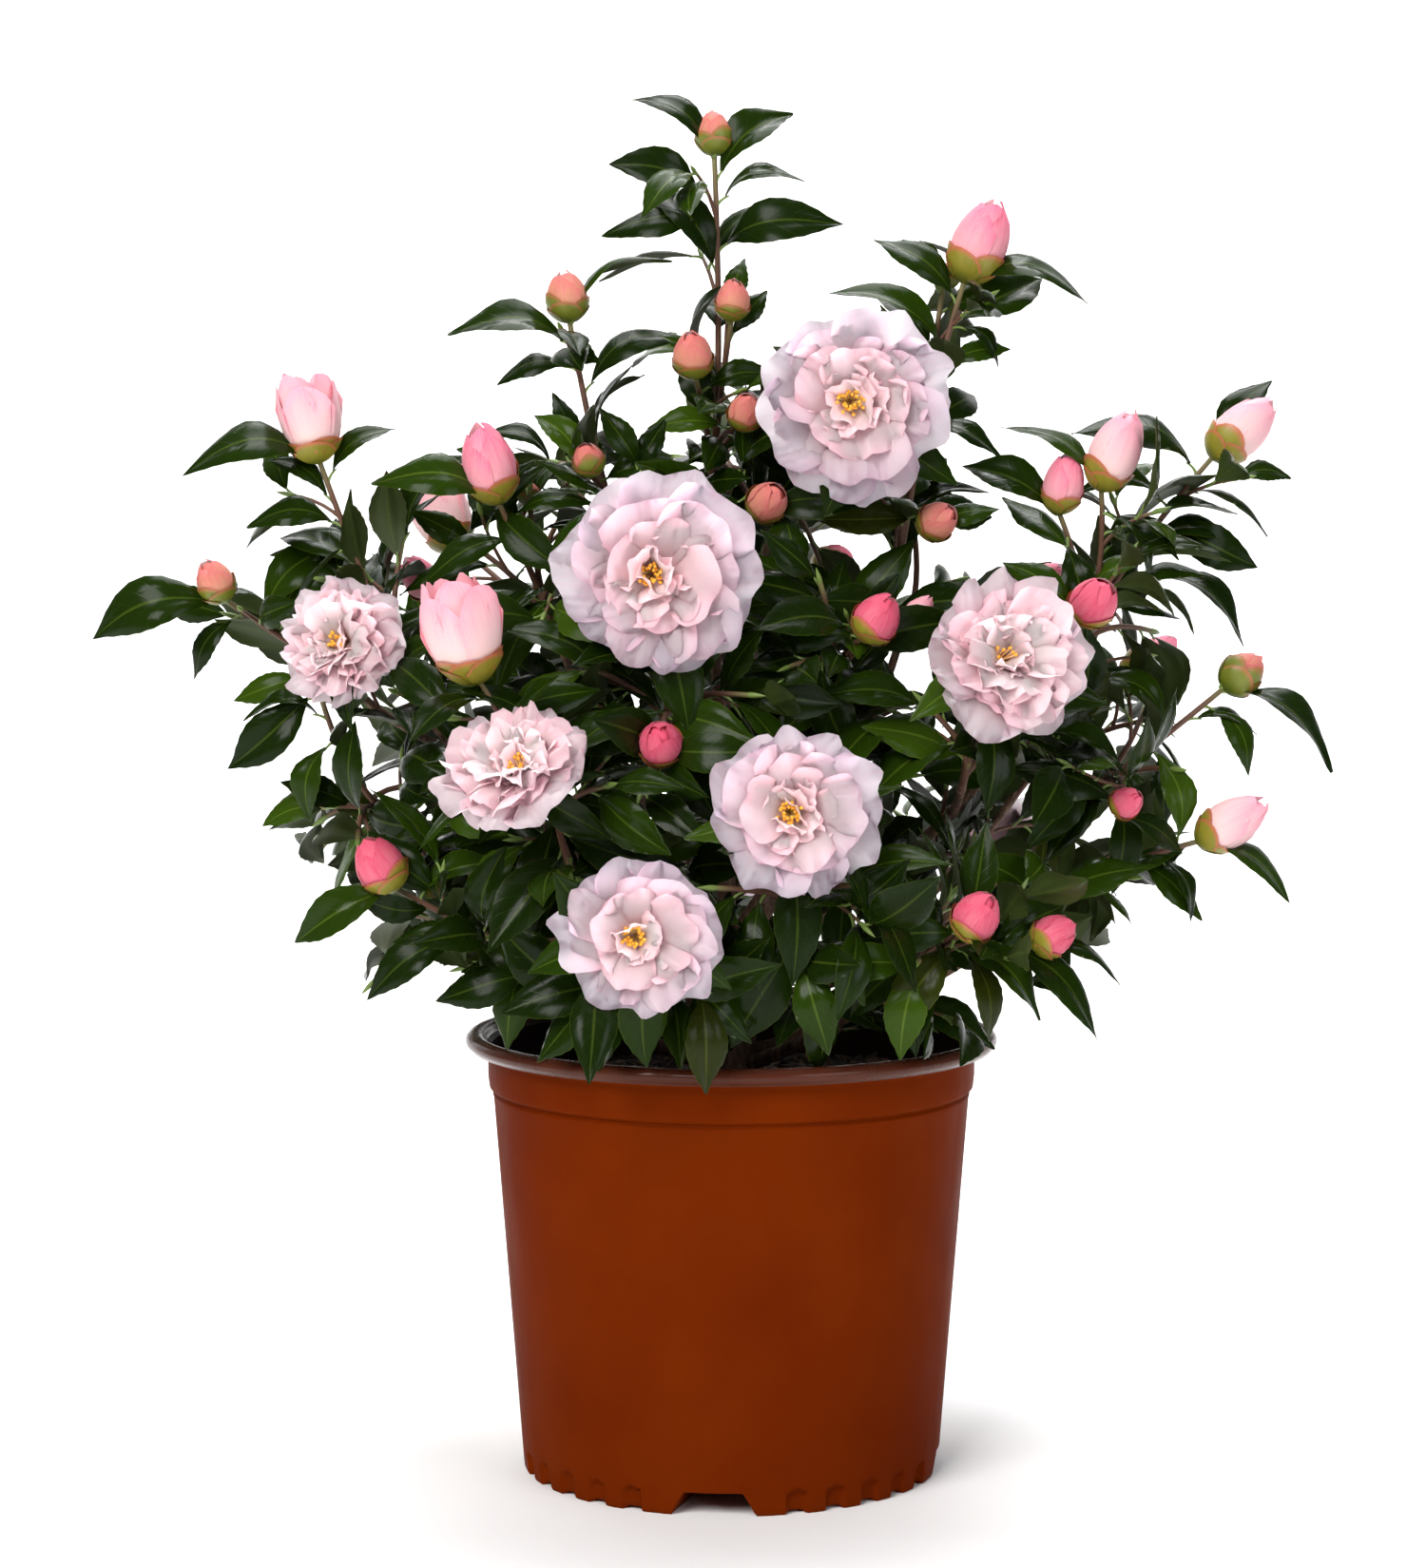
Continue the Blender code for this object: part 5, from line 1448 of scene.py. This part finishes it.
def petal_finish(name, foot, middle, rim, soft=0.75):
    """Soft petal: its colour runs from foot to rim, with fine lengthwise veins."""
    nodes = Nodes(name)
    uv, _, along = nodes.pattern()
    streak = nodes.noise(uv, 1.0, 3.0, (30, 2.2, 1))
    ground = nodes.ramp(along, (0.0, foot), (0.45, middle), (1.0, rim))
    deep = nodes.mix(1.0, ground, foot)
    shade = nodes.ramp(streak, (0.35, 0.0), (0.75, 0.28))
    nodes.set(subsurface_weight=soft, subsurface_radius=(0.016, 0.011, 0.012),
              subsurface_scale=1.0, specular_ior_level=0.25)
    return nodes.finish(nodes.mix(shade, ground, deep),
                        nodes.ramp(streak, (0.3, 0.50), (0.8, 0.62)), streak, 0.25, 0.0004)


def sepal_finish(name, foot, middle, rim):
    """A sepal: green at its foot, and red along its rim."""
    nodes = Nodes(name)
    uv, _, along = nodes.pattern()
    streak = nodes.noise(uv, 1.0, 2.0, (14, 2, 1))
    ground = nodes.ramp(along, (0.0, foot), (0.45, middle), (0.78, middle), (0.98, rim))
    return nodes.finish(nodes.mix(nodes.ramp(streak, (0.4, 0.0), (0.8, 0.3)), ground, foot),
                        nodes.ramp(streak, (0.3, 0.38), (0.8, 0.5)), streak, 0.2, 0.0003)


def twig_finish():
    """Young bark: red-brown, and green towards a shoot's tip."""
    nodes = Nodes("twig_bark")
    _, _, along = nodes.pattern()
    spots = nodes.noise(nodes.place(), 900.0, 3.0)
    brown = nodes.mix(spots, (0.078, 0.032, 0.018), (0.155, 0.070, 0.038))
    green = nodes.mix(spots, (0.13, 0.13, 0.035), (0.16, 0.19, 0.05))
    return nodes.finish(nodes.mix(nodes.ramp(along, (0.80, 0.0), (1.0, 0.75)), brown, green),
                        nodes.ramp(spots, (0.3, 0.55), (0.7, 0.72)), spots, 0.4, 0.0003)


def petiole_finish():
    nodes = Nodes("petiole_green")
    uv, _, _ = nodes.pattern()
    spots = nodes.noise(uv, 8.0, 2.0)
    return nodes.finish(nodes.mix(spots, (0.10, 0.17, 0.03), (0.20, 0.28, 0.06)),
                        nodes.ramp(spots, (0.3, 0.40), (0.7, 0.5)))


def bark_finish():
    """Older bark: grey-brown, with fine long fissures and paler flecks."""
    nodes = Nodes("limb_bark")
    place = nodes.place()
    long = nodes.noise(place, 260.0, 5.0, (1, 1, 0.22))
    fleck = nodes.noise(place, 700.0, 3.0)
    ground = nodes.ramp(long, (0.30, (0.050, 0.026, 0.016)), (0.55, (0.150, 0.078, 0.046)),
                        (0.75, (0.235, 0.150, 0.100)))
    flecks = nodes.ramp(fleck, (0.58, 0.0), (0.72, 0.5))
    return nodes.finish(nodes.mix(flecks, ground, (0.26, 0.20, 0.14)),
                        nodes.ramp(long, (0.3, 0.85), (0.7, 0.7)), long, 0.7, 0.0008)


def pot_finish(name, body, deep, rough, coat, gloss):
    """Moulded plastic, a little mottled, with faint scuffs in its satin."""
    nodes = Nodes(name)
    place = nodes.place()
    cloud = nodes.noise(place, 14.0, 4.0)
    grain = nodes.noise(place, 420.0, 2.0)
    scuff = nodes.noise(place, 60.0, 6.0, (1, 1, 0.3))
    ground = nodes.mix(nodes.ramp(cloud, (0.35, 0.0), (0.7, 1.0)), body, deep)
    satin = nodes.ramp(scuff, (0.35, rough - 0.05), (0.75, rough + 0.10))
    nodes.set(coat_weight=coat, coat_roughness=0.12, specular_ior_level=gloss)
    return nodes.finish(ground, satin, grain, 0.10, 0.0002)


def mix_finish(name, dark, light):
    """A crumb of the mix or a chip of bark: matt, and lumpy in colour and relief."""
    nodes = Nodes(name)
    lumps = nodes.noise(nodes.place(), 320.0, 6.0)
    return nodes.finish(nodes.ramp(lumps, (0.35, dark), (0.72, light)),
                        nodes.ramp(lumps, (0.3, 0.95), (0.7, 0.8)), lumps, 0.9, 0.0015)


def make_heaps():
    """One heap for each kind of small thing, with its finishes."""
    under = leaf_under("leaf_under", (0.030, 0.048, 0.006))
    greens = {
        "leaves_deep": ((0.0058, 0.0142, 0.0007), (0.08, 0.12, 0.014), 0.22),
        "leaves_dark": ((0.0088, 0.0208, 0.0010), (0.09, 0.14, 0.016), 0.20),
        "leaves_mid": ((0.0145, 0.0330, 0.0014), (0.12, 0.18, 0.020), 0.19),
        "leaves_fresh": ((0.0290, 0.0600, 0.0028), (0.15, 0.23, 0.026), 0.22),
        "leaves_bronze": ((0.0190, 0.0260, 0.0018), (0.12, 0.14, 0.020), 0.24),
    }
    heaps = {name: Heap(name, [leaf_top(name + "_skin", *values), under])
             for name, values in greens.items()}
    heaps["twigs"] = Heap("twigs", [twig_finish()])
    heaps["petioles"] = Heap("petioles", [petiole_finish()])
    petals = (
        ((0.97, 0.51, 0.58), (0.88, 0.53, 0.62), (0.69, 0.53, 0.69)),
        ((0.98, 0.53, 0.57), (0.94, 0.55, 0.63), (0.81, 0.57, 0.68)),
        ((0.99, 0.57, 0.57), (0.98, 0.58, 0.63), (0.93, 0.60, 0.68)),
        ((0.99, 0.64, 0.54), (0.99, 0.70, 0.74), (0.99, 0.75, 0.81)),
    )
    for row, colours in enumerate(petals):
        name = f"petals_{row}"
        heaps[name] = Heap(name, [petal_finish(f"petal_{row}", *colours)])
    buds = {
        "bud_warm": ((0.60, 0.44, 0.14), (0.67, 0.27, 0.18), (0.65, 0.12, 0.14)),
        "bud_pink": ((0.92, 0.60, 0.54), (0.91, 0.35, 0.42), (0.85, 0.13, 0.26)),
        "bud_hot": ((0.84, 0.36, 0.34), (0.78, 0.125, 0.21), (0.68, 0.045, 0.13)),
        "bud_pale": ((0.95, 0.75, 0.58), (0.94, 0.59, 0.61), (0.91, 0.32, 0.45)),
    }
    for name, colours in buds.items():
        heaps[name] = Heap(name, [petal_finish(name + "_petal", *colours, soft=0.2)])
    heaps["sepals_green"] = Heap("sepals_green", [sepal_finish(
        "sepal_green", (0.062, 0.098, 0.006), (0.150, 0.170, 0.013), (0.38, 0.125, 0.050))])
    heaps["sepals_warm"] = Heap("sepals_warm", [sepal_finish(
        "sepal_warm", (0.092, 0.118, 0.009), (0.255, 0.225, 0.021), (0.52, 0.135, 0.070))])
    heaps["stamens"] = Heap("stamens", [
        petal_finish("filament", (0.90, 0.66, 0.26), (0.92, 0.68, 0.28), (0.90, 0.66, 0.24), soft=0.1),
        petal_finish("anther", (0.92, 0.48, 0.05), (0.95, 0.52, 0.06), (0.92, 0.48, 0.05), soft=0.1)])
    return heaps


# The studio


# Each light's name, place, aim, size, power and tint.
LIGHTS = (
    ("key", (-1.3, -2.4, 2.3), (0, 0, 0.35), (1.8, 1.8), 121, (1.0, 0.98, 0.955)),
    ("fill", (2.0, -2.2, 1.3), (0, 0, 0.35), (1.5, 1.5), 29, (0.93, 0.95, 1.0)),
    ("top", (0.2, 0.7, 3.2), (0, 0.1, 0.3), (2.0, 2.0), 92, (1, 1, 1)),
    ("backdrop", (0, 2.2, 4.5), (0, 6.0, 1.5), (5.0, 2.0), 420, (1, 1, 1)),
)
CAMERA_LENS = 96.98  # mm, for a frame 36 mm wide
CAMERA_DIP = 4.64  # degrees down from level
FLOOR_ROWS = 40


def area_light(name, place, aim, size, power, tint):
    data = bpy.data.lights.new(name, "AREA")
    data.shape = "RECTANGLE"
    data.size, data.size_y = size
    data.energy = power
    data.color = tint
    lamp = bpy.data.objects.new(name, data)
    bpy.context.scene.collection.objects.link(lamp)
    lamp.location = place
    lamp.rotation_euler = (Vector(aim) - Vector(place)).to_track_quat("-Z", "Y").to_euler()


def make_studio():
    """A pale floor that sweeps up behind, soft lights, and the camera."""
    rows = []
    for step in range(FLOOR_ROWS):
        share = step / (FLOOR_ROWS - 1)
        if share < 0.5:
            rows.append((-6 + share * 2 * 9, 0.0))
        else:
            turn = (share - 0.5) * math.pi
            rows.append((3 + 3 * math.sin(turn), 3 - 3 * math.cos(turn)))
    rows.append((6, 8))
    points, faces = [], []
    for y, z in rows:
        points += [(-9, y, z), (9, y, z)]
    for row in range(len(rows) - 1):
        faces.append((row * 2, row * 2 + 1, row * 2 + 3, row * 2 + 2))
    mesh = bpy.data.meshes.new("studio_floor")
    mesh.from_pydata(points, [], faces)
    mesh.shade_smooth()
    nodes = Nodes("studio_paper")
    nodes.set(base_color=(0.93, 0.93, 0.93, 1), roughness=0.9)
    mesh.materials.append(nodes.material)
    floor = bpy.data.objects.new("studio_floor", mesh)
    bpy.context.scene.collection.objects.link(floor)

    world = bpy.data.worlds.new("studio")
    world.use_nodes = True
    back = world.node_tree.nodes["Background"]
    back.inputs[0].default_value = (0.95, 0.97, 1.0, 1)
    back.inputs[1].default_value = 0.15
    bpy.context.scene.world = world
    bpy.context.scene.view_settings.view_transform = "Standard"
    for light in LIGHTS:
        area_light(*light)

    camera = bpy.data.cameras.new("camera")
    camera.sensor_fit = "HORIZONTAL"
    camera.sensor_width = 36
    camera.lens = CAMERA_LENS
    eye = bpy.data.objects.new("camera", camera)
    eye.location = FRONT_EYE
    eye.rotation_euler = (math.radians(90 - CAMERA_DIP), 0, 0)
    bpy.context.scene.collection.objects.link(eye)
    bpy.context.scene.camera = eye


def main():
    make_studio()
    limbs = plan_limbs()
    make_bark(limbs, bark_finish())
    make_pot([
        pot_finish("pot_plastic", (0.132, 0.0166, 0.0008), (0.108, 0.0122, 0.0007), 0.46, 0.0, 0.006),
        pot_finish("pot_rim", (0.074, 0.0190, 0.0090), (0.056, 0.0140, 0.0070), 0.24, 0.05, 0.13),
        # The inside's near-black brown is painted shade: the plastic inside the pot is the same as the
        # wall's.
        pot_finish("pot_inside_painted_shade", (0.014, 0.0050, 0.0028), (0.010, 0.0040, 0.0025), 0.50, 0.0, 0.10),
    ])
    make_mix(mix_finish("mix_dark", (0.010, 0.007, 0.005), (0.060, 0.038, 0.024)))
    make_chips([
        mix_finish("chip_brown", (0.030, 0.016, 0.010), (0.120, 0.062, 0.034)),
        mix_finish("chip_dark", (0.012, 0.008, 0.006), (0.060, 0.038, 0.026)),
        mix_finish("chip_pale", (0.060, 0.036, 0.022), (0.200, 0.125, 0.075)),
    ])
    heaps = make_heaps()
    grow(heaps, limbs)
    masses = ["foliage_" + row[0] for row in CROWN]
    for name, heap in heaps.items():
        made = heap.make()
        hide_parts(*masses)


main()
